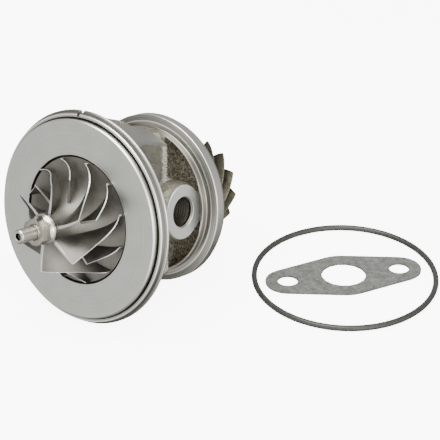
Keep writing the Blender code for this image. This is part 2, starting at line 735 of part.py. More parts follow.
def make_bearing(name, depth, parent):
    """Floating bronze bearing with an oil groove round it and four oil holes into its bore."""
    inner = JOURNAL_RADIUS + CLEARANCE
    groove_radius = BEARING_RADIUS - BEARING_GROOVE_DEPTH
    groove_front = (BEARING_LENGTH - BEARING_GROOVE_WIDTH) / 2
    groove_back = groove_front + BEARING_GROOVE_WIDTH
    profile = [
        (inner, 0),
        (BEARING_RADIUS, 0),
        (BEARING_RADIUS, groove_front),
        (groove_radius, groove_front),
        (groove_radius, groove_back),
        (BEARING_RADIUS, groove_back),
        (BEARING_RADIUS, BEARING_LENGTH),
        (inner, BEARING_LENGTH),
    ]
    bearing = turned(name, profile, SHAFT_FACETS, parent, depth)
    hole = [(0, 0), (BEARING_OIL_HOLE, 0), (BEARING_OIL_HOLE, 2 * BEARING_RADIUS + OVERLAP)]
    hole.append((0, 2 * BEARING_RADIUS + OVERLAP))
    middle = depth + BEARING_LENGTH / 2
    for number in range(2):
        drill = radial_turned(
            f"{name}_drill_{number + 1}", hole, 8, parent, middle, BEARING_RADIUS + OVERLAP / 2
        )
        spin = Matrix.Rotation(math.pi / 4 + number * math.pi / 2, 4, "Z")
        drill.data.transform(spin)
        combine(bearing, drill, "DIFFERENCE")
    return bearing


def make_insert(parent):
    """Seal plate behind the compressor wheel, dished in front, with an O-ring groove round it."""
    bore = SLEEVE_SEAL_BORE
    groove_radius = INSERT_RADIUS - INSERT_GROOVE_DEPTH
    groove_half = INSERT_RING_SECTION + CLEARANCE
    groove_middle = INSERT_THICKNESS / 2
    rim = INSERT_RADIUS - WALL
    profile = [
        (bore, INSERT_DISH),
        (FLINGER_RADIUS, INSERT_DISH),
        (rim, 0),
        (INSERT_RADIUS, 0),
        (INSERT_RADIUS, groove_middle - groove_half),
        (groove_radius, groove_middle - groove_half),
        (groove_radius, groove_middle + groove_half),
        (INSERT_RADIUS, groove_middle + groove_half),
        (INSERT_RADIUS, INSERT_THICKNESS),
        (bore, INSERT_THICKNESS),
    ]
    return turned("compressor_insert", profile, BORE_FACETS, parent, INSERT_DEPTH)


def torus_profile(radius, section, facets):
    """Round section of a ring, as (radius, depth) pairs."""
    angles = [TURN * number / facets for number in range(facets)]
    return [
        (radius + section * math.cos(angle), section + section * math.sin(angle))
        for angle in angles
    ]


def thrust_pin_places():
    angles = (math.pi / 4, -math.pi / 4)
    return [
        (THRUST_PIN_CIRCLE * math.cos(angle), THRUST_PIN_CIRCLE * math.sin(angle))
        for angle in angles
    ]


def drill_pin_holes(target, depth, length):
    """Clearance holes for both locating pins."""
    radius = THRUST_PIN_RADIUS + CLEARANCE
    for number, (x, y) in enumerate(thrust_pin_places()):
        name = f"{target.name}_pin_drill_{number + 1}"
        hole = [(0, 0), (radius, 0), (radius, length), (0, length)]
        drill = turned(name, hole, 10, target.parent, depth)
        drill.location.x = x
        drill.location.y = y
        combine(target, drill, "DIFFERENCE")


def make_deflector(parent):
    """Sheet steel oil deflector round the flinger, open towards the drain."""
    deflector = open_ring(
        "oil_deflector",
        DEFLECTOR_INNER_RADIUS,
        THRUST_BEARING_RADIUS,
        DEFLECTOR_THICKNESS,
        DEFLECTOR_GAP,
        BORE_FACETS,
        parent,
        DEFLECTOR_DEPTH,
        math.pi,
    )
    drill_pin_holes(deflector, DEFLECTOR_DEPTH - OVERLAP, DEFLECTOR_THICKNESS + 2 * OVERLAP)
    return deflector


def make_thrust_bearing(parent):
    """Bronze thrust plate with its drain side cut away."""
    plate = turned(
        "thrust_bearing",
        tube_profile(
            THRUST_HUB_RADIUS + CLEARANCE, THRUST_BEARING_RADIUS, THRUST_BEARING_THICKNESS
        ),
        BORE_FACETS,
        parent,
        THRUST_BEARING_DEPTH,
    )
    gap = box(
        "thrust_bearing_cutaway",
        (-THRUST_BEARING_RADIUS - OVERLAP, -DRAIN_GALLERY_HALF_WIDTH, THRUST_BEARING_DEPTH - OVERLAP),
        (-THRUST_RING_RADIUS, DRAIN_GALLERY_HALF_WIDTH, THRUST_BEARING_BACK + OVERLAP),
        parent,
    )
    combine(plate, gap, "DIFFERENCE")
    drill_pin_holes(
        plate, THRUST_BEARING_DEPTH - OVERLAP, THRUST_BEARING_THICKNESS + 2 * OVERLAP
    )
    return plate


def make_thrust_pins(parent):
    """Two pins that keep the thrust bearing from turning."""
    length = THRUST_BEARING_BACK + THRUST_PIN_BITE - DEFLECTOR_DEPTH
    pins = []
    for number, (x, y) in enumerate(thrust_pin_places()):
        pin = turned(
            f"thrust_pin_{number + 1}",
            [(0, 0), (THRUST_PIN_RADIUS, 0), (THRUST_PIN_RADIUS, length), (0, length)],
            10,
            parent,
            DEFLECTOR_DEPTH,
        )
        pin.location.x = x
        pin.location.y = y
        pins.append(pin)
    return pins


def make_heat_shield(parent):
    """Pressed steel cup between the housing and the turbine wheel."""
    bore = SEAL_HUB_RADIUS + SHIELD_BORE_GAP
    inner_rim = SHIELD_RADIUS - SHIELD_RIM
    crown = inner_rim - SHIELD_RISE / 2
    wall = SHIELD_THICKNESS
    profile = [
        (bore, SHIELD_RISE),
        (crown, SHIELD_RISE),
        (inner_rim, 0),
        (SHIELD_RADIUS, 0),
        (SHIELD_RADIUS, wall),
        (inner_rim + wall / 2, wall),
        (crown + wall / 2, SHIELD_RISE + wall),
        (bore, SHIELD_RISE + wall),
    ]
    return turned("heat_shield", profile, BORE_FACETS, parent, SHIELD_DEPTH)


def housing_body(parent):
    """Outside of the bearing housing, as one solid."""
    facing = -math.pi / 2 - ROLL + math.pi / FLANGE_FACETS
    land_back = LAND_HEIGHT + UNDERCUT_DEPTH
    undercut_radius = LAND_RADIUS + UNDERCUT_WIDTH
    neck_end = THRUST_RING_BACK
    front = turned(
        "bearing_housing",
        [
            (0, 0),
            (LAND_RADIUS - LAND_CHAMFER, 0),
            (LAND_RADIUS, LAND_CHAMFER),
            (LAND_RADIUS, land_back),
            (undercut_radius, land_back),
            (undercut_radius, LAND_HEIGHT),
            (FLANGE_RADIUS - FLANGE_CHAMFER, LAND_HEIGHT),
            (FLANGE_RADIUS, LAND_HEIGHT + FLANGE_CHAMFER),
            (FLANGE_RADIUS, FLANGE_BACK - FLANGE_CHAMFER),
            (FLANGE_RADIUS - FLANGE_CHAMFER, FLANGE_BACK),
            (NECK_RADIUS + NECK_FILLET, FLANGE_BACK),
            (NECK_RADIUS + NECK_FILLET / 3, FLANGE_BACK + NECK_FILLET / 3),
            (NECK_RADIUS, FLANGE_BACK + NECK_FILLET),
            (NECK_RADIUS, neck_end),
            (NECK_RADIUS - NECK_CONE, neck_end + NECK_CONE),
            (0, neck_end + NECK_CONE),
        ],
        FLANGE_FACETS,
        parent,
        start=facing,
    )
    rear = turned(
        "turbine_flange",
        [
            (0, DISH_FLOOR),
            (LIP_RADIUS - 3 * LIP_WIDTH, DISH_FLOOR),
            (LIP_RADIUS - LIP_WIDTH, LIP_DEPTH),
            (LIP_RADIUS, LIP_DEPTH),
            (LIP_RADIUS, LIP_STEP_DEPTH - LIP_WIDTH / 2),
            (LIP_STEP_RADIUS, LIP_STEP_DEPTH),
            (TURBINE_FLANGE_RADIUS, TURBINE_FLANGE_FRONT),
            (TURBINE_FLANGE_RADIUS, TURBINE_FLANGE_REAR),
            (REAR_FACE_RADIUS, REAR_FACE_DEPTH),
            (0, REAR_FACE_DEPTH),
        ],
        FLANGE_FACETS,
        parent,
        start=facing,
    )
    drum = turned(
        "drum",
        [
            (0, FLANGE_BACK - OVERLAP),
            (DRUM_RADIUS + DRUM_FILLET, FLANGE_BACK - OVERLAP),
            (DRUM_RADIUS + DRUM_FILLET, FLANGE_BACK),
            (DRUM_RADIUS + DRUM_FILLET / 3, FLANGE_BACK + DRUM_FILLET / 3),
            (DRUM_RADIUS, FLANGE_BACK + DRUM_FILLET),
            (DRUM_RADIUS, DRUM_TAPER_START),
            (LIP_RADIUS - LIP_WIDTH / 2, LIP_DEPTH + LIP_WIDTH),
            (LIP_RADIUS - LIP_WIDTH / 2, DISH_FLOOR + OVERLAP),
            (0, DISH_FLOOR + OVERLAP),
        ],
        FLANGE_FACETS,
        parent,
        start=facing,
    )
    wide = COLUMN_HALF_WIDTH
    narrow = COLUMN_NARROW_HALF_WIDTH
    near = FLANGE_BACK - 2 * OVERLAP
    far = DISH_FLOOR + 2 * OVERLAP
    step_end = COLUMN_END + COLUMN_STEP
    outline = [
        (-near, -wide),
        (-near, wide),
        (-COLUMN_END, wide),
        (-step_end, narrow),
        (-far, narrow),
        (-far, -narrow),
        (-step_end, -narrow),
        (-COLUMN_END, -wide),
    ]
    reach = DRUM_RADIUS + DRUM_FILLET + OVERLAP
    upright = Matrix(((0, 1, 0), (0, 0, 1), (1, 0, 0))).to_4x4()
    block = prism(
        "column_block", outline, 2 * reach, parent, Matrix.Translation((0, -reach, 0)) @ upright
    )
    combine(drum, block, "INTERSECT")
    barrel = turned(
        "barrel",
        [
            (0, neck_end),
            (BARREL_RADIUS, neck_end),
            (BARREL_RADIUS, DISH_FLOOR + OVERLAP),
            (0, DISH_FLOOR + OVERLAP),
        ],
        BORE_FACETS,
        parent,
    )
    lug_end = DISH_FLOOR + OVERLAP - INLET_DEPTH
    lug_root = math.asin(LUG_HALF_WIDTH / INLET_BOSS_RADIUS)
    boss_outline = arc((0, 0), INLET_BOSS_RADIUS, lug_root, TURN - lug_root, BORE_FACETS)
    boss_outline += [(lug_end, -LUG_HALF_WIDTH), (lug_end, LUG_HALF_WIDTH)]
    boss_foot = BARREL_RADIUS / 2
    boss = prism(
        "inlet_boss",
        boss_outline,
        INLET_FACE - boss_foot,
        parent,
        radial_matrix(INLET_DEPTH, boss_foot),
    )
    pad_outline = eared_outline(DRAIN_BOLT_SPACING, DRAIN_EAR_RADIUS, DRAIN_MIDDLE_RADIUS)
    pad_turn = Matrix.Rotation(math.pi / 2, 4, "Z")
    pad = prism(
        "drain_pad",
        pad_outline,
        DRAIN_FACE - BARREL_RADIUS / 2,
        parent,
        radial_matrix(INLET_DEPTH, -DRAIN_FACE) @ pad_turn,
    )
    for addition in (rear, drum, barrel, boss, pad):
        combine(front, addition, "UNION")
    return front


def bore_cutter(parent):
    """Everything turned out of the housing along the shaft, behind the wheel recess."""
    snap_groove = SNAP_RING_DEPTH + SNAP_RING_THICKNESS + CLEARANCE
    clip_radius = BORE_RADIUS + CIRCLIP_BITE + CLEARANCE
    thrust_pocket = THRUST_RING_RADIUS + 2 * CLEARANCE
    thrust_bore = THRUST_BEARING_RADIUS + CLEARANCE
    profile = [
        (0, RECESS_DEPTH - OVERLAP),
        (INSERT_BORE_RADIUS, RECESS_DEPTH - OVERLAP),
        (INSERT_BORE_RADIUS, SNAP_GROOVE_FRONT),
        (SNAP_GROOVE_RADIUS, SNAP_GROOVE_FRONT),
        (SNAP_GROOVE_RADIUS, snap_groove),
        (INSERT_BORE_RADIUS, snap_groove),
        (INSERT_BORE_RADIUS, DEFLECTOR_DEPTH),
        (thrust_bore, DEFLECTOR_DEPTH),
        (thrust_bore, THRUST_SHOULDER),
        (thrust_pocket, THRUST_SHOULDER),
        (thrust_pocket, BEARING_BORE_FRONT),
        (BORE_RADIUS, BEARING_BORE_FRONT),
    ]
    for clip in (CLIP_FRONT, CLIP_INNER_FRONT, CLIP_INNER_REAR, CLIP_REAR):
        clip_back = clip + CIRCLIP_THICKNESS
        profile += [
            (BORE_RADIUS, clip - CLEARANCE),
            (clip_radius, clip - CLEARANCE),
            (clip_radius, clip_back + CLEARANCE),
            (BORE_RADIUS, clip_back + CLEARANCE),
        ]
    profile += [
        (BORE_RADIUS, BORE_END),
        (TURBINE_SEAL_BORE, BORE_END),
        (TURBINE_SEAL_BORE, SHIELD_SEAT_DEPTH),
        (SHIELD_RADIUS + CLEARANCE, SHIELD_SEAT_DEPTH),
        (SHIELD_RADIUS + CLEARANCE, REAR_FACE_DEPTH + OVERLAP),
        (0, REAR_FACE_DEPTH + OVERLAP),
    ]
    return turned("bore_cutter", profile, BORE_FACETS, parent)


def housing_cutters(parent):
    """The bores, drillings and the notch, each as a solid to take away."""
    recess = [
        (0, -OVERLAP),
        (RECESS_RADIUS, -OVERLAP),
        (RECESS_RADIUS, RECESS_DEPTH),
        (0, RECESS_DEPTH),
    ]
    cutters = [turned("recess_cutter", recess, WHEEL_FACETS, parent), bore_cutter(parent)]
    cutters.append(
        radial_turned(
            "inlet_cutter",
            [
                (0, -OVERLAP),
                (INLET_THREAD_RADIUS + INLET_CHAMFER + OVERLAP, -OVERLAP),
                (INLET_THREAD_RADIUS, INLET_CHAMFER),
                (INLET_THREAD_RADIUS, INLET_THREAD_LENGTH),
                (INLET_DRILLING_RADIUS, INLET_THREAD_LENGTH + INLET_THREAD_RADIUS / 2),
                (INLET_DRILLING_RADIUS, INLET_FACE - BORE_RADIUS / 2),
                (0, INLET_FACE - BORE_RADIUS / 2),
            ],
            SHAFT_FACETS,
            parent,
            INLET_DEPTH,
            INLET_FACE,
        )
    )
    gallery_floor = BORE_RADIUS + WALL
    cutters.append(
        radial_turned(
            "drain_cutter",
            [
                (0, gallery_floor - DRAIN_FACE),
                (DRAIN_HOLE_RADIUS, gallery_floor - DRAIN_FACE),
                (DRAIN_HOLE_RADIUS, OVERLAP),
                (0, OVERLAP),
            ],
            SHAFT_FACETS,
            parent,
            INLET_DEPTH,
            -DRAIN_FACE,
        )
    )
    for side in (-1, 1):
        name = "drain_bolt_cutter_upper" if side > 0 else "drain_bolt_cutter_lower"
        cutters.append(
            radial_turned(
                name,
                [
                    (0, -DRAIN_BOLT_LENGTH - DRAIN_BOLT_RADIUS / 2),
                    (DRAIN_BOLT_RADIUS, -DRAIN_BOLT_LENGTH),
                    (DRAIN_BOLT_RADIUS, OVERLAP),
                    (0, OVERLAP),
                ],
                14,
                parent,
                INLET_DEPTH,
                -DRAIN_FACE,
                side * DRAIN_BOLT_SPACING / 2,
            )
        )
    between = (CLIP_INNER_FRONT + CIRCLIP_THICKNESS + CLIP_INNER_REAR) / 2
    cutters.append(
        box(
            "drain_window_cutter",
            (-gallery_floor - OVERLAP, -BORE_RADIUS / 2, between - DRAIN_WINDOW / 2),
            (-BORE_RADIUS / 2, BORE_RADIUS / 2, between + DRAIN_WINDOW / 2),
            parent,
        )
    )
    cutters.append(
        box(
            "drain_gallery_cutter",
            (-COLUMN_HALF_WIDTH + WALL, -DRAIN_GALLERY_HALF_WIDTH, THRUST_BEARING_BACK - OVERLAP),
            (-gallery_floor, DRAIN_GALLERY_HALF_WIDTH, INLET_DEPTH),
            parent,
        )
    )
    notch = [
        (-NOTCH_WIDTH / 2, OVERLAP),
        (-NOTCH_WIDTH / 4, -NOTCH_DEPTH),
        (NOTCH_WIDTH / 4, -NOTCH_DEPTH),
        (NOTCH_WIDTH / 2, OVERLAP),
    ]
    notch_place = Matrix.Translation((0, FLANGE_RADIUS, -FLANGE_BACK - OVERLAP))
    cutters.append(
        prism("notch_cutter", notch, FLANGE_THICKNESS + 2 * OVERLAP, parent, notch_place)
    )
    return cutters


def make_housing(parent):
    """Cast iron bearing housing with both flanges, the oil inlet boss and the oil drain pad."""
    housing = housing_body(parent)
    for cutter in housing_cutters(parent):
        combine(housing, cutter, "DIFFERENCE")
    drill_pin_holes(housing, THRUST_SHOULDER - OVERLAP, THRUST_PIN_BITE + OVERLAP)
    return housing


def make_static_pieces(parent):
    """Everything that stays with the housing."""
    snap_outer = INSERT_BORE_RADIUS + SNAP_RING_BITE
    ring_outer = SLEEVE_SEAL_BORE - CLEARANCE
    turbine_ring_outer = TURBINE_SEAL_BORE - CLEARANCE
    turbine_ring_depth = TURBINE_RING_MIDDLE - PISTON_RING_THICKNESS / 2
    groove_floor = INSERT_RADIUS - INSERT_GROOVE_DEPTH
    ring_middle = (groove_floor + INSERT_BORE_RADIUS) / 2
    clip_outer = BORE_RADIUS + CIRCLIP_BITE
    spring = ("spring_steel", (0.30, 0.29, 0.28), 0.40, 1.0)
    pieces = {
        make_housing(parent): ("cast_iron", (0.42, 0.39, 0.34), 0.50, 0.9),
        make_insert(parent): ("insert_alloy", (0.60, 0.60, 0.58), 0.40, 1.0),
        make_deflector(parent): ("deflector_sheet", (0.50, 0.50, 0.48), 0.35, 1.0),
        make_thrust_bearing(parent): ("thrust_bronze", (0.62, 0.45, 0.22), 0.35, 1.0),
        make_heat_shield(parent): ("shield_sheet", (0.45, 0.42, 0.38), 0.45, 1.0),
    }
    snap_ring = open_ring(
        "insert_snap_ring",
        snap_outer - SNAP_RING_WIDTH,
        snap_outer,
        SNAP_RING_THICKNESS,
        CLIP_GAP / 2,
        BORE_FACETS,
        parent,
        SNAP_RING_DEPTH,
    )
    insert_o_ring = turned(
        "insert_o_ring",
        torus_profile(ring_middle, INSERT_RING_SECTION, 6),
        BORE_FACETS,
        parent,
        INSERT_DEPTH + INSERT_THICKNESS / 2 - INSERT_RING_SECTION,
    )
    compressor_ring = open_ring(
        "compressor_piston_ring",
        ring_outer - PISTON_RING_WIDTH,
        ring_outer,
        PISTON_RING_THICKNESS,
        RING_GAP,
        RING_FACETS,
        parent,
        compressor_ring_depth(),
    )
    turbine_ring = open_ring(
        "turbine_piston_ring",
        turbine_ring_outer - PISTON_RING_WIDTH,
        turbine_ring_outer,
        PISTON_RING_THICKNESS,
        RING_GAP,
        RING_FACETS,
        parent,
        turbine_ring_depth,
    )
    pieces[snap_ring] = spring
    pieces[insert_o_ring] = ("insert_rubber", (0.05, 0.05, 0.05), 0.60, 0.0)
    pieces[compressor_ring] = ("ring_iron", (0.35, 0.34, 0.33), 0.35, 1.0)
    pieces[turbine_ring] = ("ring_iron_hot", (0.33, 0.31, 0.29), 0.40, 1.0)
    for number, clip in enumerate((CLIP_FRONT, CLIP_INNER_FRONT, CLIP_INNER_REAR, CLIP_REAR)):
        circlip = open_ring(
            f"bearing_circlip_{number + 1}",
            clip_outer - CIRCLIP_WIDTH,
            clip_outer,
            CIRCLIP_THICKNESS,
            CLIP_GAP,
            RING_FACETS,
            parent,
            clip,
        )
        pieces[circlip] = spring
    for pin in make_thrust_pins(parent):
        pieces[pin] = ("pin_steel", (0.50, 0.50, 0.49), 0.30, 1.0)
    return pieces


def oval_ring(name, reaches, section, parent):
    """A ring of round section that lies flat as an oval, with a reach along x and one along y."""
    bm = bmesh.new()
    rows = []
    for step in range(O_RING_FACETS):
        turn = TURN * step / O_RING_FACETS
        centre = Vector((reaches[0] * math.cos(turn), reaches[1] * math.sin(turn), 0))
        outward = Vector((reaches[1] * math.cos(turn), reaches[0] * math.sin(turn), 0)).normalized()
        row = []
        for number in range(O_RING_SIDES):
            angle = TURN * (number + 0.5) / O_RING_SIDES
            place = centre + section * math.cos(angle) * outward
            place.z = section * math.sin(angle)
            row.append(bm.verts.new(place))
        rows.append(row)
    for row, following in zip(rows, rows[1:] + rows[:1]):
        for number in range(O_RING_SIDES):
            after = (number + 1) % O_RING_SIDES
            bm.faces.new((row[number], row[after], following[after], following[number]))
    return solid(bm, name, parent)


def make_loose_seals(parent):
    """The flange O-ring and the oil drain gasket, lying flat beside the cartridge."""
    o_ring = oval_ring(
        "flange_o_ring",
        (O_RING_RADIUS - O_RING_OVAL, O_RING_RADIUS + O_RING_OVAL),
        O_RING_SECTION,
        parent,
    )
    lowest = O_RING_SECTION * math.cos(math.pi / O_RING_SIDES)
    o_ring.location = (O_RING_SHIFT, 0, lowest)
    outline = eared_outline(
        DRAIN_BOLT_SPACING,
        GASKET_BOLT_HOLE + GASKET_EAR_MARGIN,
        GASKET_CENTRE_HOLE + GASKET_MIDDLE_MARGIN,
        10,
    )
    gasket = prism("drain_gasket", outline, GASKET_THICKNESS, parent, Matrix.Identity(4))
    half = DRAIN_BOLT_SPACING / 2
    holes = ((-half, GASKET_BOLT_HOLE), (0, GASKET_CENTRE_HOLE), (half, GASKET_BOLT_HOLE))
    for number, (x, radius) in enumerate(holes):
        punch = turned(
            f"gasket_punch_{number + 1}",
            [(0, -OVERLAP), (radius, -OVERLAP), (radius, OVERLAP), (0, OVERLAP)],
            SHAFT_FACETS,
            gasket,
        )
        punch.location.x = x
        combine(gasket, punch, "DIFFERENCE")
    gasket.location = (*GASKET_OFFSET, 0)
    gasket.rotation_euler.z = GASKET_TURN
    return {
        o_ring: ("seal_rubber", (0.08, 0.08, 0.075), 0.55, 0.0),
        gasket: ("gasket_fibre", (0.30, 0.31, 0.29), 0.85, 0.0),
    }


def cartridge_matrix():
    """Turns the cartridge frame as it lies: heading across the ground, tilted, and rolled."""
    along = Vector((
        math.sin(HEADING) * math.cos(TILT),
        math.cos(HEADING) * math.cos(TILT),
        -math.sin(TILT),
    ))
    aside = Vector((math.cos(HEADING), -math.sin(HEADING), 0))
    upward = aside.cross(along)
    axes = Matrix((aside, upward, -along)).transposed().to_4x4()
    return axes @ Matrix.Rotation(ROLL, 4, "Z")


def extent(items):
    """Lowest and highest corners of finished solids, in world metres."""
    bpy.context.view_layer.update()
    graph = bpy.context.evaluated_depsgraph_get()
    points = []
    for item in items:
        shaped = item.evaluated_get(graph)
        points += [shaped.matrix_world @ vertex.co for vertex in shaped.data.vertices]
    low = Vector([min(point[axis] for point in points) for axis in range(3)])
    high = Vector([max(point[axis] for point in points) for axis in range(3)])
    return low, high


def main():
    clear_scene()
    ground = frame_empty("ground_frame")
    cartridge = frame_empty("cartridge_frame", ground)
    cartridge.matrix_local = cartridge_matrix()
    rotor = frame_empty("rotor_axis", cartridge)
    seals = frame_empty("seal_frame", ground)
    seals.location = (SEALS_ASIDE, SEALS_AHEAD, 0)

    turning = make_rotor(rotor)
    fixed = make_static_pieces(cartridge)
    bronze = ("bearing_bronze", (0.60, 0.42, 0.20), 0.35, 1.0)
    floating = {
        make_bearing("journal_bearing_front", FRONT_BEARING_DEPTH, rotor): bronze,
        make_bearing("journal_bearing_rear", REAR_BEARING_DEPTH, rotor): bronze,
    }
    loose = make_loose_seals(seals)
    pieces = {**turning, **fixed, **floating, **loose}
    for item, (name, colour, roughness, metallic) in pieces.items():
        item.data.materials.append(finish(name, colour, roughness, metallic))

    low, _ = extent([*turning, *fixed, *floating])
    cartridge.location.z -= low.z
    low, high = extent(pieces)
    ground.location.x = -(low.x + high.x) / 2
    ground.location.y = -(low.y + high.y) / 2
    bpy.context.view_layer.update()


main()
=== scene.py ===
import json
import math

import bpy
from mathutils import Matrix, Vector


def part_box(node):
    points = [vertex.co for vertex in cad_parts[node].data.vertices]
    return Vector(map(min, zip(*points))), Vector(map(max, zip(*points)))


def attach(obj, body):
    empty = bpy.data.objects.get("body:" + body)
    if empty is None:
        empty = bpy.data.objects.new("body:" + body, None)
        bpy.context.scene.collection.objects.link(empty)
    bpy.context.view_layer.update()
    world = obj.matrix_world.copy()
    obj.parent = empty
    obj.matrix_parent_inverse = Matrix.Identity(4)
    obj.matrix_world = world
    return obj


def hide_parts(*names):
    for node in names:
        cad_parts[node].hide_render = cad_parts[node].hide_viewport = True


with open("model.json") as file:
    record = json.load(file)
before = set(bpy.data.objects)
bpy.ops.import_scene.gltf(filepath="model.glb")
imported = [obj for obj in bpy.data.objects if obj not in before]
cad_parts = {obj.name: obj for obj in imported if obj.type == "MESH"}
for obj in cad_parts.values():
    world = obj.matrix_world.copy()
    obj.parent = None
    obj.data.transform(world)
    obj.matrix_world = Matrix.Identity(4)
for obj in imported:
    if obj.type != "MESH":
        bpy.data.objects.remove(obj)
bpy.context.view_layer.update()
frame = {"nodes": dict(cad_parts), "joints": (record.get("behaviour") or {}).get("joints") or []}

# The studio: a pale floor under the whole part, lit by large soft boxes, with a long lens from the
# photograph's side. The first helpers are here too: a class for shader sums and one for materials.


class Pattern:
    """A number that varies over a surface. Sums on it add Math nodes to its material."""

    def __init__(self, finish, socket):
        self.finish = finish
        self.socket = socket

    def __add__(self, other):
        return self.finish.math("ADD", self, other)

    __radd__ = __add__

    def __sub__(self, other):
        return self.finish.math("SUBTRACT", self, other)

    def __rsub__(self, other):
        return self.finish.math("SUBTRACT", other, self)

    def __mul__(self, other):
        return self.finish.math("MULTIPLY", self, other)

    __rmul__ = __mul__

    def power(self, exponent):
        return self.finish.math("POWER", self, exponent)


class Finish:
    """A material in the making: its shader and the nodes that feed it."""

    def __init__(self, name, colour, roughness, metallic):
        self.material = bpy.data.materials.new(name)
        self.material.use_nodes = True
        self.tree = self.material.node_tree
        self.shader = self.tree.nodes["Principled BSDF"]
        self.feed(Roughness=roughness, Metallic=metallic, **{"Base Color": (*colour, 1)})

    def fill(self, node, sockets):
        """Links each pattern to its socket, and sets anything else as a constant."""
        for key, value in sockets.items():
            if isinstance(value, Pattern):
                self.tree.links.new(value.socket, node.inputs[key])
            else:
                node.inputs[key].default_value = value

    def feed(self, **sockets):
        self.fill(self.shader, sockets)

    def node(self, kind, settings, sockets, output=0):
        """Adds a node, and gives one of its outputs as a pattern."""
        node = self.tree.nodes.new(kind)
        for key, value in settings.items():
            setattr(node, key, value)
        self.fill(node, sockets)
        return Pattern(self, node.outputs[output])

    def math(self, operation, first, second):
        return self.node("ShaderNodeMath", {"operation": operation}, {0: first, 1: second})

    def place(self, matrix=None):
        """Coordinates on the piece, in metres, seen from a frame such as the cartridge's."""
        where = self.node("ShaderNodeTexCoord", {}, {}, "Object")
        if matrix is None:
            return where
        sockets = {
            "Vector": where,
            "Location": matrix.translation,
            "Rotation": matrix.to_euler("XYZ"),
        }
        return self.node("ShaderNodeMapping", {"vector_type": "TEXTURE"}, sockets)

    def part(self, vector, axis):
        """One coordinate of a vector."""
        return self.node("ShaderNodeSeparateXYZ", {}, {"Vector": vector}, axis)

    def from_shaft(self, where):
        """The distance from the shaft's axis."""
        across = self.part(where, "X")
        height = self.part(where, "Y")
        return (across.power(2.0) + height.power(2.0)).power(0.5)

    def attribute(self, name):
        """A number that the mesh itself carries."""
        return self.node("ShaderNodeAttribute", {"attribute_name": name}, {}, "Fac")

    def noise(self, where, size, detail=3.0, roughness=0.5):
        """Blotches of about that size, between 0 and 1."""
        sockets = {"Vector": where, "Scale": 1 / size, "Detail": detail, "Roughness": roughness}
        return self.node("ShaderNodeTexNoise", {}, sockets)

    def noise_along(self, value, size):
        """Noise that depends on one number only, such as the distance from an axis."""
        sockets = {"W": value, "Scale": 1 / size, "Detail": 2.0}
        return self.node("ShaderNodeTexNoise", {"noise_dimensions": "1D"}, sockets)

    def ramp(self, value, low, high, start=0.0, end=1.0):
        """Goes smoothly from start to end as the value goes from low to high."""
        sockets = {0: value, 1: low, 2: high, 3: start, 4: end}
        return self.node("ShaderNodeMapRange", {"interpolation_type": "SMOOTHSTEP"}, sockets)

    def mix(self, factor, first, second):
        """A colour between two colours."""
        first, second = ((*c, 1) if isinstance(c, tuple) else c for c in (first, second))
        sockets = {0: factor, 6: first, 7: second}
        return self.node("ShaderNodeMix", {"data_type": "RGBA"}, sockets, 2)

    def bump(self, height, depth, strength):
        """Raises the surface by the height pattern, whose full range is that depth in metres."""
        sockets = {"Height": height, "Distance": depth, "Strength": strength}
        self.feed(Normal=self.node("ShaderNodeBump", {}, sockets))


MM = 0.001
FLOOR_SIDE = 4.0
FLOOR_DROP = 0.05
FLOOR_GLOW = 7.5
PAPER_WHITE = (0.92, 0.92, 0.92)
KEY_POWER = 9.0
FILL_POWER = 2.0

bpy.ops.object.select_all(action="DESELECT")
bpy.ops.mesh.primitive_plane_add(size=FLOOR_SIDE, location=(0, 0, -FLOOR_DROP * MM))
floor = bpy.context.object
floor.name = "studio_floor"
floor.visible_glossy = False
floor.visible_diffuse = False
paper = Finish("studio_paper", PAPER_WHITE, 0.9, 0.0)
paper.feed(**{"Emission Color": (1, 1, 1, 1), "Emission Strength": FLOOR_GLOW})
paper.feed(Roughness=paper.ramp(paper.noise(paper.place(), 0.2), 0, 1, 0.85, 0.95))
floor.data.materials.append(paper.material)

# The light from all round is stronger from the front, along Y, and weaker from below, along Z.
FADE_BACK = 0.4
FADE_FRONT = -1.0
BACK_LIGHT = 0.5
FRONT_LIGHT = 2.3
FADE_LOW = -0.8
FADE_HIGH = -0.25
GROUND_SHARE = 0.3

world = bpy.data.worlds.new("studio_light")
bpy.context.scene.world = world
world.use_nodes = True
sky = world.node_tree.nodes["Background"]
way = world.node_tree.nodes.new("ShaderNodeTexCoord")
split = world.node_tree.nodes.new("ShaderNodeSeparateXYZ")
world.node_tree.links.new(way.outputs["Generated"], split.inputs["Vector"])
blend = world.node_tree.nodes.new("ShaderNodeMath")
blend.operation = "MULTIPLY"
light_fades = (
    ("Y", FADE_BACK, FADE_FRONT, BACK_LIGHT, FRONT_LIGHT),
    ("Z", FADE_LOW, FADE_HIGH, GROUND_SHARE, 1.0),
)
for slot, (axis, *limits) in enumerate(light_fades):
    fade = world.node_tree.nodes.new("ShaderNodeMapRange")
    fade.interpolation_type = "SMOOTHSTEP"
    for number, value in enumerate(limits):
        fade.inputs[number + 1].default_value = value
    world.node_tree.links.new(split.outputs[axis], fade.inputs["Value"])
    world.node_tree.links.new(fade.outputs["Result"], blend.inputs[slot])
world.node_tree.links.new(blend.outputs["Value"], sky.inputs["Strength"])
sky.inputs["Color"].default_value = (1, 1, 1, 1)


def softbox(name, where, size, power):
    """A square lamp that faces the part."""
    bpy.ops.object.light_add(type="AREA", location=where)
    lamp = bpy.context.object
    lamp.name = name
    lamp.data.size = size
    lamp.data.energy = power
    lamp.rotation_mode = "QUATERNION"
    lamp.rotation_quaternion = (-Vector(where)).to_track_quat("-Z", "Y")


softbox("softbox_above", (-0.15, -0.10, 0.75), 0.6, KEY_POWER)
softbox("softbox_front", (0.30, -0.75, 0.25), 0.3, FILL_POWER)

CAMERA_DOWN = math.radians(28.75)
CAMERA_OFFSET = Vector((44.78, -546.0, 299.5)) * MM
CAMERA_LENS = 163.6
CAMERA_SENSOR = 36

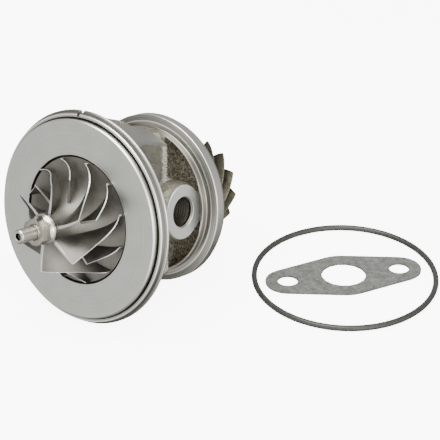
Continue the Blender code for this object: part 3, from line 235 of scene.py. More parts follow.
spin_joint = next(joint for joint in frame["joints"] if joint["name"] == "rotor_spin")
front_centre = Vector(spin_joint["pos_m"])
bpy.ops.object.camera_add(
    location=front_centre + CAMERA_OFFSET, rotation=(math.pi / 2 - CAMERA_DOWN, 0, 0)
)
camera = bpy.context.object
camera.data.lens = CAMERA_LENS
camera.data.sensor_width = CAMERA_SENSOR
bpy.context.scene.camera = camera

# The bearing housing's casting: a grey iron neck with a column, an oil inlet boss and an oil drain
# pad. It is sand-cast, rough and brown in its hollows, and its drum is turned smooth afterwards.

# Everything in the cartridge is drawn in its own frame: +Z along the shaft to the nut, +X to the
# oil inlet, with depths measured back from the front land.
ROLL = math.radians(9)
nut_way = Vector(spin_joint["axis"])
aside = Vector((0, 0, 1)).cross(nut_way).normalized()
upward = aside.cross(-nut_way)
lying = Matrix((aside, upward, nut_way)).transposed().to_4x4()
cartridge = Matrix.Translation(front_centre) @ lying @ Matrix.Rotation(ROLL, 4, "Z")


def pick(piece):
    """Makes a piece the only one that the operators work on."""
    bpy.ops.object.select_all(action="DESELECT")
    piece.select_set(True)
    bpy.context.view_layer.objects.active = piece


def settle(piece, body, place=cartridge):
    """Puts a finished piece where it belongs in the part, and lets it ride on its body."""
    piece.matrix_world = place @ piece.matrix_world
    pick(piece)
    bpy.ops.object.transform_apply(location=True, rotation=True, scale=True)
    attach(piece, body)


def apply_modifier(piece, kind, **settings):
    modifier = piece.modifiers.new(kind.title(), kind)
    for key, value in settings.items():
        setattr(modifier, key, value)
    bpy.context.view_layer.objects.active = piece
    bpy.ops.object.modifier_apply(modifier=modifier.name)


def break_edges(piece, width, sharp=0.5):
    """Rounds the edges that turn by more than an angle in radians."""
    apply_modifier(
        piece, "BEVEL", width=width * MM, segments=2, limit_method="ANGLE", angle_limit=sharp
    )


def join(pieces, name):
    bpy.ops.object.select_all(action="DESELECT")
    for piece in pieces:
        piece.select_set(True)
    bpy.context.view_layer.objects.active = pieces[0]
    bpy.ops.object.join()
    joined = bpy.context.object
    joined.name = name
    return joined


def combine(piece, tool, operation):
    """Cuts, joins or keeps the shared part, and removes the tool."""
    apply_modifier(piece, "BOOLEAN", object=tool, operation=operation, solver="EXACT")
    bpy.data.objects.remove(tool)


def lathe(name, outline, sides, smooth=30):
    """Turns (radius, depth) pairs in mm: a circle is drawn, then extruded, moved and scaled."""
    bpy.ops.object.select_all(action="DESELECT")
    radius, depth = outline[0]
    bpy.ops.mesh.primitive_circle_add(
        vertices=sides, radius=radius * MM, location=(0, 0, -depth * MM)
    )
    piece = bpy.context.object
    piece.name = name
    bpy.ops.object.mode_set(mode="EDIT")
    bpy.ops.mesh.select_all(action="SELECT")
    ends_open = outline[0] != outline[-1]
    if ends_open:
        bpy.ops.mesh.edge_face_add()
    for (last_radius, last_depth), (radius, depth) in zip(outline, outline[1:]):
        step = (0, 0, (last_depth - depth) * MM)
        share = radius / last_radius
        bpy.ops.mesh.extrude_region_move(TRANSFORM_OT_translate={"value": step})
        bpy.ops.transform.resize(value=(share, share, 1), center_override=(0, 0, -depth * MM))
    bpy.ops.mesh.select_all(action="SELECT")
    bpy.ops.mesh.remove_doubles(threshold=0.001 * MM)
    bpy.ops.mesh.normals_make_consistent(inside=False)
    bpy.ops.object.mode_set(mode="OBJECT")
    bpy.ops.object.shade_smooth_by_angle(angle=math.radians(smooth))
    bpy.ops.object.transform_apply(location=True, rotation=True, scale=True)
    return piece


def block(name, low, high):
    """A block between two corners, given in mm as x, y and depth."""
    bpy.ops.object.select_all(action="DESELECT")
    size = [(b - a) * MM for a, b in zip(low, high)]
    middle = [(a + b) / 2 * MM for a, b in zip(low, high)]
    bpy.ops.mesh.primitive_cube_add(size=1, location=(middle[0], middle[1], -middle[2]), scale=size)
    piece = bpy.context.object
    piece.name = name
    bpy.ops.object.transform_apply(location=True, rotation=True, scale=True)
    return piece


def turn_to_inlet(piece, offset, depth, aside=0.0):
    """Lays a turned piece over, so that its axis points to the oil inlet."""
    piece.matrix_world = (
        Matrix.Translation(Vector((offset, aside, -depth)) * MM)
        @ Matrix.Rotation(math.pi / 2, 4, "Y")
        @ piece.matrix_world
    )
    pick(piece)
    bpy.ops.object.transform_apply(location=True, rotation=True, scale=True)
    return piece


DRUM_ROOT = 29.3
DRUM_RADIUS = 27.3
DRUM_TAPER_START = 18.0
DRUM_TAPER = 0.22
DRUM_END_RADIUS = 23.9
COLUMN_SIDE = 13.9
COLUMN_HEIGHT = 31
COLUMN_END = 28.3
REAR_COLUMN_SIDE = 8.5
NECK_ROOT = 21.5
NECK_RADIUS = 19.0
BARREL_RADIUS = 12.5
INLET_DEPTH = 27.9
INLET_FACE = 20.3
FACING = 0.3
BOSS_WIDTH = 0.87
BOSS_HEIGHT = 0.94
LUG_HALF_WIDTH = 6.2
LUG_START = 5.6
LUG_MIDDLE = 35
LUG_END = 38.4
LUG_TAPER = 0.38
DRAIN_FACE = 18.0
PAD_RADIUS = 12.0
PAD_HEIGHT = 12.0
EAR_RADIUS = 7.0
WEB_WIDTH = 12
BOLT_HALF_SPACING = 19.0
SAND_GRAIN = 0.45
INNER_RADIUS = 14.0
BEARING_BORE = 5.7
TAPPING_RADIUS = 4.9
OIL_WAY = 1.3
DRAIN_RADIUS = 7.2
BOLT_HOLE = 2.6


def taper_to_lip(piece):
    """Narrows a lug where it meets the lip of the turbine flange."""
    for corner in piece.data.vertices:
        if corner.co.z < -LUG_MIDDLE * MM:
            corner.co.y *= LUG_TAPER


drum = lathe(
    "casting",
    [
        (DRUM_ROOT, 3.9),
        (DRUM_ROOT, 4.7),
        (28.0, 5.4),
        (DRUM_RADIUS, 6.7),
        (DRUM_RADIUS, DRUM_TAPER_START),
        (DRUM_END_RADIUS, 33.4),
        (DRUM_END_RADIUS, 38.4),
    ],
    160,
)
wide = block(
    "column_wide", (-COLUMN_SIDE, -COLUMN_HEIGHT, 3.0), (COLUMN_SIDE, COLUMN_HEIGHT, COLUMN_END)
)
narrow = block(
    "column_narrow",
    (-REAR_COLUMN_SIDE, -COLUMN_HEIGHT, 27.0),
    (REAR_COLUMN_SIDE, COLUMN_HEIGHT, 39.4),
)
combine(wide, narrow, "UNION")
combine(drum, wide, "INTERSECT")
neck = lathe(
    "neck",
    [
        (NECK_ROOT, 4.0),
        (NECK_ROOT, 4.7),
        (19.8, 5.5),
        (NECK_RADIUS, 7.2),
        (NECK_RADIUS, 16.9),
        (16.5, 19.6),
    ],
    96,
)
barrel = lathe("barrel", [(BARREL_RADIUS, 15.0), (BARREL_RADIUS, 38.6)], 96)
boss = lathe("boss", [(8.9, FACING), (9.0, 0.6), (9.6, 2.4), (9.8, 13.0)], 96)
boss.scale = (BOSS_WIDTH, BOSS_HEIGHT, 1)
turn_to_inlet(boss, INLET_FACE, INLET_DEPTH)
lug = block(
    "lug",
    (6.0, -LUG_HALF_WIDTH, INLET_DEPTH + LUG_START),
    (INLET_FACE - FACING, LUG_HALF_WIDTH, LUG_END),
)
taper_to_lip(lug)
pad = lathe("pad", [(PAD_RADIUS, -PAD_HEIGHT), (PAD_RADIUS, 0.0)], 96)
turn_to_inlet(pad, -DRAIN_FACE, INLET_DEPTH)
for side in (-1, 1):
    ear = lathe("ear", [(EAR_RADIUS, -PAD_HEIGHT), (EAR_RADIUS, 0.0)], 64)
    turn_to_inlet(ear, -DRAIN_FACE, INLET_DEPTH, side * BOLT_HALF_SPACING)
    web = block(
        "web",
        (-DRAIN_FACE, -BOLT_HALF_SPACING / 2, 0),
        (PAD_HEIGHT - DRAIN_FACE, BOLT_HALF_SPACING / 2, WEB_WIDTH),
    )
    web.matrix_world = Matrix.Translation(
        Vector((0, side * BOLT_HALF_SPACING / 2, -INLET_DEPTH + WEB_WIDTH / 2)) * MM
    )
    combine(pad, ear, "UNION")
    combine(pad, web, "UNION")
casting = join([drum, neck, barrel, boss, lug, pad], "housing_casting")
apply_modifier(casting, "REMESH", mode="VOXEL", voxel_size=SAND_GRAIN * MM)
apply_modifier(casting, "SMOOTH", factor=0.5, iterations=7)

bore = lathe(
    "bore",
    [(INNER_RADIUS, 3.0), (INNER_RADIUS, 18.0), (BEARING_BORE, 18.1), (BEARING_BORE, 41.0)],
    96,
)
combine(casting, bore, "DIFFERENCE")
tapping = lathe(
    "tapping",
    [(TAPPING_RADIUS, -2.0), (TAPPING_RADIUS, 9.5), (OIL_WAY, 11.8), (OIL_WAY, 16.0)],
    64,
)
combine(casting, turn_to_inlet(tapping, INLET_FACE, INLET_DEPTH), "DIFFERENCE")
drain = lathe("drain", [(DRAIN_RADIUS, -10.0), (DRAIN_RADIUS, 2.0)], 64)
combine(casting, turn_to_inlet(drain, -DRAIN_FACE, INLET_DEPTH), "DIFFERENCE")
for side in (-1, 1):
    hole = lathe("hole", [(BOLT_HOLE, -9.0), (BOLT_HOLE, 2.0)], 48)
    turn_to_inlet(hole, -DRAIN_FACE, INLET_DEPTH, side * BOLT_HALF_SPACING)
    combine(casting, hole, "DIFFERENCE")
pick(casting)
bpy.ops.object.shade_smooth_by_angle(angle=math.radians(50))

GREY_IRON = (0.19, 0.182, 0.152)
DARK_IRON = (0.115, 0.108, 0.084)
WORN_EDGE = (0.74, 0.715, 0.645)
SKIN_BROWN = (0.12, 0.105, 0.07)
SKIN_OLIVE = (0.40, 0.37, 0.29)
TURNED_DARK = (0.19, 0.185, 0.165)
TURNED_LIGHT = (0.25, 0.245, 0.225)
GRIT = 0.8
FLECK = 0.45
PATCH = 5.0
STREAK = 0.25

skin = Finish("cast_skin", SKIN_BROWN, 0.5, 0.6)
local = skin.place(cartridge)
across = skin.part(local, "X")
radius = skin.from_shaft(local)
depth = skin.part(local, "Z") * -1.0
grit = skin.noise(local, GRIT * MM, 5.0, 0.7)
fleck = skin.noise(local, FLECK * MM, 4.0, 0.7)
patches = skin.noise(local, PATCH * MM, 3.0)
streaks = skin.noise_along(depth + patches * 0.3 * MM, STREAK * MM)
shade = skin.ramp(grit * 0.8 + patches * 0.25, 0.44, 0.64)

# Each mask is 1 on its own part of the casting: the column without the boss and the pad, the drum's
# turned side, the column's worn back edge, its flat sides, and the face of the drain pad.
sideways = skin.math("ABSOLUTE", across, 0.0)
on_column = skin.ramp(sideways, (COLUMN_SIDE + 0.4) * MM, (COLUMN_SIDE + 1.0) * MM, 1.0, 0.0)
narrowing = skin.math("MAXIMUM", depth - DRUM_TAPER_START * MM, 0.0) * DRUM_TAPER
turned = skin.ramp(radius + narrowing, (DRUM_RADIUS - 0.9) * MM, (DRUM_RADIUS - 0.3) * MM)
turned = turned * on_column
turned = turned * skin.ramp(depth, (COLUMN_END - 0.2) * MM, (COLUMN_END + 0.2) * MM, 1.0, 0.0)
edge = skin.ramp(depth + grit * 2.4 * MM, (COLUMN_END - 2.6) * MM, (COLUMN_END - 1.0) * MM)
past = skin.ramp(depth + grit * 3.0 * MM, (COLUMN_END + 2.6) * MM, (COLUMN_END + 5.0) * MM)
outside = skin.ramp(sideways, (REAR_COLUMN_SIDE - 1.2) * MM, (REAR_COLUMN_SIDE - 0.5) * MM)
worn = (edge - past) * outside * on_column * skin.ramp(fleck, 0.40, 0.58)
column_face = skin.ramp(sideways, (COLUMN_SIDE - 1.0) * MM, (COLUMN_SIDE - 0.4) * MM)
column_face = column_face * on_column * (1.0 - edge) + (1.0 - on_column) * 0.7
on_pad_face = skin.ramp(across, (0.2 - DRAIN_FACE) * MM, (0.4 - DRAIN_FACE) * MM, 1.0, 0.0)
turned = skin.math("MAXIMUM", turned, on_pad_face)
rough_colour = skin.mix(worn, skin.mix(shade, SKIN_BROWN, SKIN_OLIVE), WORN_EDGE)
face_colour = skin.mix(skin.ramp(grit * 0.5 + patches * 0.5, 0.35, 0.65), DARK_IRON, GREY_IRON)
cast_colour = skin.mix(column_face, rough_colour, face_colour)
turned_colour = skin.mix(
    skin.ramp(streaks * 0.4 + patches * 0.6, 0.3, 0.7), TURNED_DARK, TURNED_LIGHT
)
smooth = skin.math("MAXIMUM", turned, column_face * 0.75)
skin.feed(
    Roughness=skin.ramp(smooth + grit * 0.2, 0, 1, 0.52, 0.36),
    **{"Base Color": skin.mix(turned, cast_colour, turned_colour)},
)
skin.bump(grit * (1.0 - smooth), 0.5 * MM, 0.9)
casting.data.materials.clear()
casting.data.materials.append(skin.material)
settle(casting, "housing")
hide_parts("bearing_housing")

# The compressor flange: the front end of the same casting, turned all over. Its spigot centres the
# compressor cover, an undercut clears the corner, and the notch in the rim sets the angle.

OPENING_RADIUS = 13.9
RECESS_RADIUS = 20.5
RECESS_DEPTH = 3.1
LAND_RADIUS = 31.8
LAND_CORNER = 0.4
UNDERCUT_RADIUS = 32.35
UNDERCUT_TOP = 1.8
UNDERCUT_FLOOR = 2.4
RIM_RADIUS = 34.2
RIM_FRONT = 3.6
RIM_BACK = 4.7
NOTCH_HALF_WIDTH = 1.75
NOTCH_ROOT = 0.25

flange = lathe(
    "compressor_flange",
    [
        (OPENING_RADIUS, 4.6),
        (OPENING_RADIUS + 1.0, RECESS_DEPTH),
        (RECESS_RADIUS, RECESS_DEPTH),
        (RECESS_RADIUS, 0.15),
        (20.65, 0.0),
        (LAND_RADIUS - LAND_CORNER, 0.0),
        (LAND_RADIUS, LAND_CORNER),
        (LAND_RADIUS, UNDERCUT_FLOOR),
        (UNDERCUT_RADIUS, UNDERCUT_FLOOR),
        (UNDERCUT_RADIUS, UNDERCUT_TOP),
        (33.1, UNDERCUT_TOP),
        (33.35, 2.05),
        (33.6, 3.4),
        (34.0, RIM_FRONT),
        (RIM_RADIUS, 3.85),
        (RIM_RADIUS, 4.3),
        (33.8, RIM_BACK),
        (20.0, RIM_BACK),
        (OPENING_RADIUS, 4.6),
    ],
    256,
)
notch = block("notch", (-NOTCH_HALF_WIDTH, 32.5, 1.0), (NOTCH_HALF_WIDTH, 37.0, 6.0))
for corner in notch.data.vertices:
    if corner.co.y < RIM_RADIUS * MM:
        corner.co.x *= NOTCH_ROOT
combine(flange, notch, "DIFFERENCE")
break_edges(flange, 0.08)

FACE_DARK = (0.475, 0.488, 0.44)
FACE_LIGHT = (0.53, 0.545, 0.495)
RIM_DARK = (0.20, 0.195, 0.17)
RIM_LIGHT = (0.33, 0.315, 0.28)
PAINTED_EDGE_HIGHLIGHT = (0.86, 0.85, 0.80)
# The two darkest colours here are painted shade, for the recess and for the undercut.
RECESS_PAINTED_SHADE = (0.26, 0.25, 0.21)
UNDERCUT_PAINTED_SHADE = (0.05, 0.045, 0.035)

machined = Finish("machined_iron", FACE_LIGHT, 0.28, 1.0)
local = machined.place(cartridge)
radius = machined.from_shaft(local)
depth = machined.part(local, "Z") * -1.0
lines = machined.noise_along(radius - depth, 0.10 * MM)
bands = machined.noise_along(radius - depth, 0.8 * MM)
cloud = machined.noise(local, 7.0 * MM)
# The recess and the undercut are painted darker than the faces around them: painted shade.
in_recess = machined.ramp(
    radius, (RECESS_RADIUS + 0.05) * MM, (RECESS_RADIUS + 0.12) * MM, 1.0, 0.0
)
near_front = machined.ramp(
    depth, (RECESS_DEPTH + 0.2) * MM, (RECESS_DEPTH + 0.5) * MM, 1.0, 0.0
)
in_recess = in_recess * machined.ramp(depth, 0.1 * MM, 0.4 * MM) * near_front
in_undercut = machined.ramp(
    radius, (UNDERCUT_RADIUS + 0.02) * MM, (UNDERCUT_RADIUS + 0.1) * MM, 1.0, 0.0
)
in_undercut = in_undercut * near_front * machined.ramp(
    depth, (UNDERCUT_TOP - 0.05) * MM, (UNDERCUT_TOP + 0.2) * MM
)
# The land's chamfer and the rim's front and rear edges are painted near white: a painted highlight.
land_edge = machined.ramp(radius, (LAND_RADIUS - 0.45) * MM, (LAND_RADIUS - 0.35) * MM)
land_edge = land_edge * machined.ramp(
    depth, (LAND_CORNER + 0.05) * MM, (LAND_CORNER + 0.15) * MM, 1.0, 0.0
)
rim_edge = machined.ramp(depth, (RIM_FRONT + 0.05) * MM, (RIM_FRONT + 0.2) * MM)
rim_edge = rim_edge * machined.ramp(radius, (RIM_RADIUS - 0.5) * MM, (RIM_RADIUS - 0.3) * MM)
rim_front = machined.ramp(
    depth, (UNDERCUT_TOP + 0.2) * MM, (UNDERCUT_TOP + 0.35) * MM, 1.0, 0.0
)
rim_front = rim_front * machined.ramp(
    radius, (UNDERCUT_RADIUS + 0.4) * MM, (UNDERCUT_RADIUS + 0.5) * MM
)
edge_highlight = machined.math("MAXIMUM", land_edge, machined.math("MAXIMUM", rim_front, rim_edge))
beyond = machined.ramp(radius, (UNDERCUT_RADIUS + 0.1) * MM, (UNDERCUT_RADIUS + 0.2) * MM)
face = machined.mix(
    machined.ramp(cloud * 0.6 + bands * 0.4, 0.35, 0.65), FACE_DARK, FACE_LIGHT
)
rim = machined.mix(machined.ramp(bands, 0.35, 0.65), RIM_DARK, RIM_LIGHT)
unshaded = machined.mix(edge_highlight, machined.mix(beyond, face, rim), PAINTED_EDGE_HIGHLIGHT)
recess_shaded = machined.mix(in_recess, unshaded, RECESS_PAINTED_SHADE)
machined.feed(
    Roughness=machined.ramp(bands * 0.5 + cloud * 0.5, 0.3, 0.7, 0.28, 0.36),
    **{"Base Color": machined.mix(in_undercut, recess_shaded, UNDERCUT_PAINTED_SHADE)},
)
machined.bump(lines, 0.004 * MM, 0.6)
flange.data.materials.append(machined.material)
settle(flange, "housing")
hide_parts("bearing_housing")

# The turbine flange: the back end of the casting, turned in steps. Its outer band takes the clamp
# that holds the turbine housing, and the heat shield is trapped against its rear face.

LIP_DEPTH = 33.0
LIP_RADIUS = 23.9
CLAMP_RADIUS = 27.5
CLAMP_DEPTH = 36.2
CLAMP_BACK = 39.2
REAR_FACE = 40.7
SHIELD_SEAT = 18.7
SEAT_FLOOR = 39.7
SHAFT_HOLE = 6.6
WALL_FRONT = 37.5

back_flange = lathe(
    "turbine_flange",
    [
        (22.2, WALL_FRONT),
        (23.3, 33.1),
        (23.5, LIP_DEPTH),
        (23.8, LIP_DEPTH),
        (LIP_RADIUS, 33.1),
        (LIP_RADIUS, 34.9),
        (24.1, 35.1),
        (25.3, 35.3),
        (25.5, 35.4),
        (27.3, 36.1),
        (CLAMP_RADIUS, 36.3),
        (CLAMP_RADIUS, CLAMP_BACK),
        (27.3, 39.4),
        (26.7, REAR_FACE),
        (SHIELD_SEAT, REAR_FACE),
        (SHIELD_SEAT, SEAT_FLOOR),
        (SHAFT_HOLE, SEAT_FLOOR),
        (SHAFT_HOLE, WALL_FRONT),
        (22.2, WALL_FRONT),
    ],
    224,
)
break_edges(back_flange, 0.1, 0.3)

CONE_DARK = (0.21, 0.205, 0.175)
CONE_LIGHT = (0.30, 0.29, 0.255)
STEP_GREY = (0.32, 0.31, 0.275)
CLAMP_GREY = (0.72, 0.71, 0.65)
EDGE_HIGHLIGHT_GREY = (0.70, 0.69, 0.64)

turned_iron = Finish("turned_iron", STEP_GREY, 0.32, 1.0)
local = turned_iron.place(cartridge)
radius = turned_iron.from_shaft(local)
depth = turned_iron.part(local, "Z") * -1.0
bands = turned_iron.noise_along(radius + depth, 0.7 * MM)
lines = turned_iron.noise_along(radius + depth, 0.12 * MM)
# The lip's top edge, the step and the clamp's front edge are painted light: a painted highlight.
lip_edge = turned_iron.ramp(depth, (LIP_DEPTH + 0.15) * MM, (LIP_DEPTH + 0.3) * MM, 1.0, 0.0)
step_edge = turned_iron.ramp(radius, (LIP_RADIUS + 1.35) * MM, (LIP_RADIUS + 1.45) * MM)
step_edge = step_edge * turned_iron.ramp(
    radius, (LIP_RADIUS + 1.7) * MM, (LIP_RADIUS + 1.8) * MM, 1.0, 0.0
)
rim_edge = turned_iron.ramp(radius, (CLAMP_RADIUS - 0.3) * MM, (CLAMP_RADIUS - 0.2) * MM)
rim_edge = rim_edge * turned_iron.ramp(
    depth, (CLAMP_DEPTH + 0.25) * MM, (CLAMP_DEPTH + 0.4) * MM, 1.0, 0.0
)
edge_highlight = turned_iron.math("MAXIMUM", lip_edge, turned_iron.math("MAXIMUM", step_edge, rim_edge))
tone = turned_iron.mix(turned_iron.ramp(bands, 0.35, 0.65), CONE_DARK, CONE_LIGHT)
outer = turned_iron.ramp(radius, (CLAMP_RADIUS - 0.1) * MM, CLAMP_RADIUS * MM)
inner = turned_iron.ramp(radius, (LIP_RADIUS + 1.6) * MM, (LIP_RADIUS + 1.8) * MM, 1.0, 0.0)
plain = turned_iron.mix(inner, tone, STEP_GREY)
plain = turned_iron.mix(outer, plain, CLAMP_GREY)
turned_colour = turned_iron.mix(edge_highlight, plain, EDGE_HIGHLIGHT_GREY)
grit = turned_iron.noise(local, GRIT * MM, 5.0, 0.7)
as_cast = turned_iron.ramp(radius, (LIP_RADIUS - 1.5) * MM, (LIP_RADIUS - 0.9) * MM, 1.0, 0.0)
as_cast = as_cast * turned_iron.ramp(
    depth, (WALL_FRONT + 0.5) * MM, (WALL_FRONT + 0.7) * MM, 1.0, 0.0
)
cast_colour = turned_iron.mix(turned_iron.ramp(grit, 0.42, 0.64), SKIN_BROWN, SKIN_OLIVE)
turned_iron.feed(
    Roughness=turned_iron.ramp(as_cast + bands * 0.3, 0.0, 1.0, 0.28, 0.52),
    Metallic=turned_iron.ramp(as_cast, 0.0, 1.0, 1.0, 0.6),
    **{"Base Color": turned_iron.mix(as_cast, turned_colour, cast_colour)},
)
turned_iron.bump(lines * (1.0 - as_cast) * 0.012 + grit * as_cast, 0.5 * MM, 0.7)
back_flange.data.materials.append(turned_iron.material)
settle(back_flange, "housing")
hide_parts("bearing_housing")

# The oil inlet: the boss and its lug, milled flat in grey iron where the union of the oil feed pipe
# seals. The hole is drilled and tapped, and its colour darkens inwards as painted shade.

THREAD_PITCH = 1.0
THREAD_TURNS = 7
THREAD_START = 8.6
THREAD_CREST = 4.5
THREAD_ROOT = 4.95
MOUTH_RADIUS = 5.15
SEAT_CORE = 6.2
LUG_TOP = 1.2

outline = [(4.0, 9.6), (4.9, 9.0)]
for turn in range(THREAD_TURNS):
    start = THREAD_START - turn * THREAD_PITCH
    outline += [(THREAD_CREST, start), (THREAD_ROOT, start - THREAD_PITCH / 2)]
outline += [(4.7, 0.9), (MOUTH_RADIUS, 0.0), (9.15, 0.0), (9.3, 0.2)]
outline += [(9.4, 1.6), (6.5, 3.0), (6.0, 9.6), (4.0, 9.6)]
union_seat = lathe("inlet_thread", outline, 96)
for corner in union_seat.data.vertices:
    reach = math.hypot(corner.co.x, corner.co.y) / MM
    if reach > SEAT_CORE:
        corner.co.x *= BOSS_WIDTH
        corner.co.y *= BOSS_HEIGHT
turn_to_inlet(union_seat, INLET_FACE, INLET_DEPTH)
lug_face = block(
    "lug_face",
    (INLET_FACE - LUG_TOP, -LUG_HALF_WIDTH, INLET_DEPTH + LUG_START),
    (INLET_FACE, LUG_HALF_WIDTH, LUG_END),
)
taper_to_lip(lug_face)
combine(union_seat, lug_face, "UNION")

FACED_GREY = (0.66, 0.67, 0.635)
HOLE_PAINTED_SHADE = (0.035, 0.034, 0.025)

faced = Finish("faced_iron", FACED_GREY, 0.5, 0.8)
local = faced.place(cartridge)
depth = faced.part(local, "Z") + INLET_DEPTH * MM
height = faced.part(local, "Y")
inward = INLET_FACE * MM - faced.part(local, "X")
ring = (depth.power(2.0) + height.power(2.0)).power(0.5)
# Inside the tapped hole the colour darkens further in: painted shade.
inside = faced.ramp(ring, THREAD_ROOT * MM, MOUTH_RADIUS * MM, 1.0, 0.0)
hole_shade = inside * faced.ramp(inward, 0.1 * MM, 1.2 * MM)
arcs = faced.noise_along(ring, 0.12 * MM)
faced.feed(
    Roughness=faced.ramp(arcs, 0.3, 0.7, 0.48, 0.56),
    **{"Base Color": faced.mix(hole_shade, FACED_GREY, HOLE_PAINTED_SHADE)},
)
faced.bump(arcs, 0.004 * MM, 0.5)
union_seat.data.materials.append(faced.material)
settle(union_seat, "housing")

# The inner pieces, hidden once the cartridge is together: bronze bearings that float in oil, spring
# steel clips, ground steel thrust pieces and iron piston rings. Each keeps its modelled shape.


def ground_metal(name, colour, roughness, grain, metallic=1.0):
    """Ground or turned metal with a fine grain and slight stains."""
    metal = Finish(name, colour, roughness, metallic)
    spots = metal.noise(metal.place(), grain)
    stain = metal.noise(metal.place(), 3 * MM)
    dark = tuple(0.8 * channel for channel in colour)
    metal.feed(
        Roughness=metal.ramp(spots, 0.3, 0.7, roughness - 0.05, roughness + 0.07),
        **{"Base Color": metal.mix(metal.ramp(stain, 0.35, 0.65), dark, colour)},
    )
    metal.bump(spots, 0.004 * MM, 0.3)
    return metal.material


def dress(name, material):
    """Gives its finish to a piece that keeps its modelled shape."""
    frame["nodes"][name].data.materials.clear()
    frame["nodes"][name].data.materials.append(material)


bronze = ground_metal("bearing_bronze", (0.60, 0.42, 0.20), 0.32, 0.5 * MM)
ground_steel = ground_metal("ground_steel", (0.56, 0.55, 0.53), 0.28, 0.4 * MM)
spring_steel = ground_metal("spring_steel", (0.30, 0.29, 0.28), 0.40, 0.4 * MM)
ring_iron = ground_metal("ring_iron", (0.35, 0.34, 0.33), 0.38, 0.4 * MM)
insert_alloy = ground_metal("insert_alloy", (0.60, 0.60, 0.58), 0.36, 0.5 * MM)
seal_black = ground_metal("inner_seal", (0.05, 0.05, 0.05), 0.60, 0.5 * MM, metallic=0.0)
inner_finishes = {
    "journal_bearing_front": bronze,
    "journal_bearing_rear": bronze,
    "thrust_bearing": bronze,
    "thrust_ring": ground_steel,
    "thrust_sleeve": ground_steel,
    "thrust_pin_1": ground_steel,
    "thrust_pin_2": ground_steel,
    "oil_deflector": ground_steel,
    "compressor_insert": insert_alloy,
    "insert_snap_ring": spring_steel,
    "insert_o_ring": seal_black,
    "bearing_circlip_1": spring_steel,
    "bearing_circlip_2": spring_steel,
    "bearing_circlip_3": spring_steel,
    "bearing_circlip_4": spring_steel,
    "compressor_piston_ring": ring_iron,
    "turbine_piston_ring": ring_iron,
}
for name, material in inner_finishes.items():
    dress(name, material)

# The shaft: ground steel, with a plain stub through the compressor wheel, a threaded end for the
# nut and a centre hole from turning. Its turbine end is friction-welded to the wheel.

TIP = -25.9
CENTRE_HOLE = 1.05
CENTRE_MOUTH = 1.2
THREAD_END = 2.2
STUB_RADIUS = 2.45
JOURNAL_RADIUS = 3.3
WELD_RADIUS = 6.0
SHAFT_DARK = (0.44, 0.41, 0.36)
SHAFT_LIGHT = (0.58, 0.55, 0.50)
CENTRE_PAINTED_SHADE = (0.04, 0.035, 0.03)

shaft = lathe(
    "shaft_steel",
    [
        (0.15, TIP + 1.9),
        (CENTRE_HOLE, TIP + 1.1),
        (CENTRE_HOLE, TIP + 0.15),
        (CENTRE_MOUTH, TIP),
        (1.85, TIP),
        (THREAD_END, TIP + 0.4),
        (THREAD_END, -19.2),
        (STUB_RADIUS, -18.9),
        (STUB_RADIUS, 12.0),
        (JOURNAL_RADIUS, 12.1),
        (JOURNAL_RADIUS, 35.0),
        (WELD_RADIUS, 35.1),
        (WELD_RADIUS, 43.4),
    ],
    96,
)
steel = Finish("shaft_ground", SHAFT_LIGHT, 0.25, 1.0)
local = steel.place(cartridge)
marks = steel.noise_along(steel.part(local, "Z"), 0.15 * MM)
# The centre hole is painted nearly black: painted shade.
in_centre = steel.ramp(steel.from_shaft(local), CENTRE_HOLE * MM, CENTRE_MOUTH * MM, 1.0, 0.0)
ground_colour = steel.mix(steel.noise(local, 2 * MM), SHAFT_DARK, SHAFT_LIGHT)
steel.feed(
    Roughness=steel.ramp(marks, 0.3, 0.7, 0.22, 0.32),
    **{"Base Color": steel.mix(in_centre, ground_colour, CENTRE_PAINTED_SHADE)},
)
steel.bump(marks, 0.02 * MM, 0.6)
shaft.data.materials.append(steel.material)
settle(shaft, "rotor")
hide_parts("shaft")

# The heat shield: a cup pressed from thin heat-resisting steel sheet. It isn't fastened: its rim
# lies in a seat of the turbine flange and is trapped there by the turbine housing.

SHIELD_HOLE = 7.0
SHIELD_RIM = 18.4
CUP_FRONT = 42.4
CUP_BACK = 43.08

shield = lathe(
    "shield_cup",
    [
        (SHIELD_HOLE, CUP_FRONT),
        (14.2, CUP_FRONT),
        (14.9, 42.1),
        (15.7, 40.4),
        (16.4, 40.02),
        (SHIELD_RIM, 40.02),
        (SHIELD_RIM, 40.68),
        (16.7, 40.7),
        (16.1, 41.0),
        (15.5, 42.6),
        (14.6, CUP_BACK),
        (SHIELD_HOLE, CUP_BACK),
        (SHIELD_HOLE, CUP_FRONT),
    ],
    128,
)
shield.data.materials.append(ground_metal("pressed_sheet", (0.40, 0.37, 0.33), 0.42, 0.8 * MM))
settle(shield, "housing")
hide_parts("heat_shield")

# The turbine wheel: investment-cast nickel alloy, dark from heat treatment. Thirteen blades stand
# on the back disc and curl towards the outlet, and the round nose has a centre hole from turning.


def quarter(start, end, share, radial_first):
    """A point (radius, depth) on a quarter ellipse between two points."""
    angle = share * math.pi / 2
    across, along = 1 - math.cos(angle), math.sin(angle)
    if radial_first:
        across, along = along, across
    return (
        start[0] + (end[0] - start[0]) * across,
        start[1] + (end[1] - start[1]) * along,
    )


EDGE_STRIP = 0.012
GRID_LONG = 40
GRID_HIGH = 14


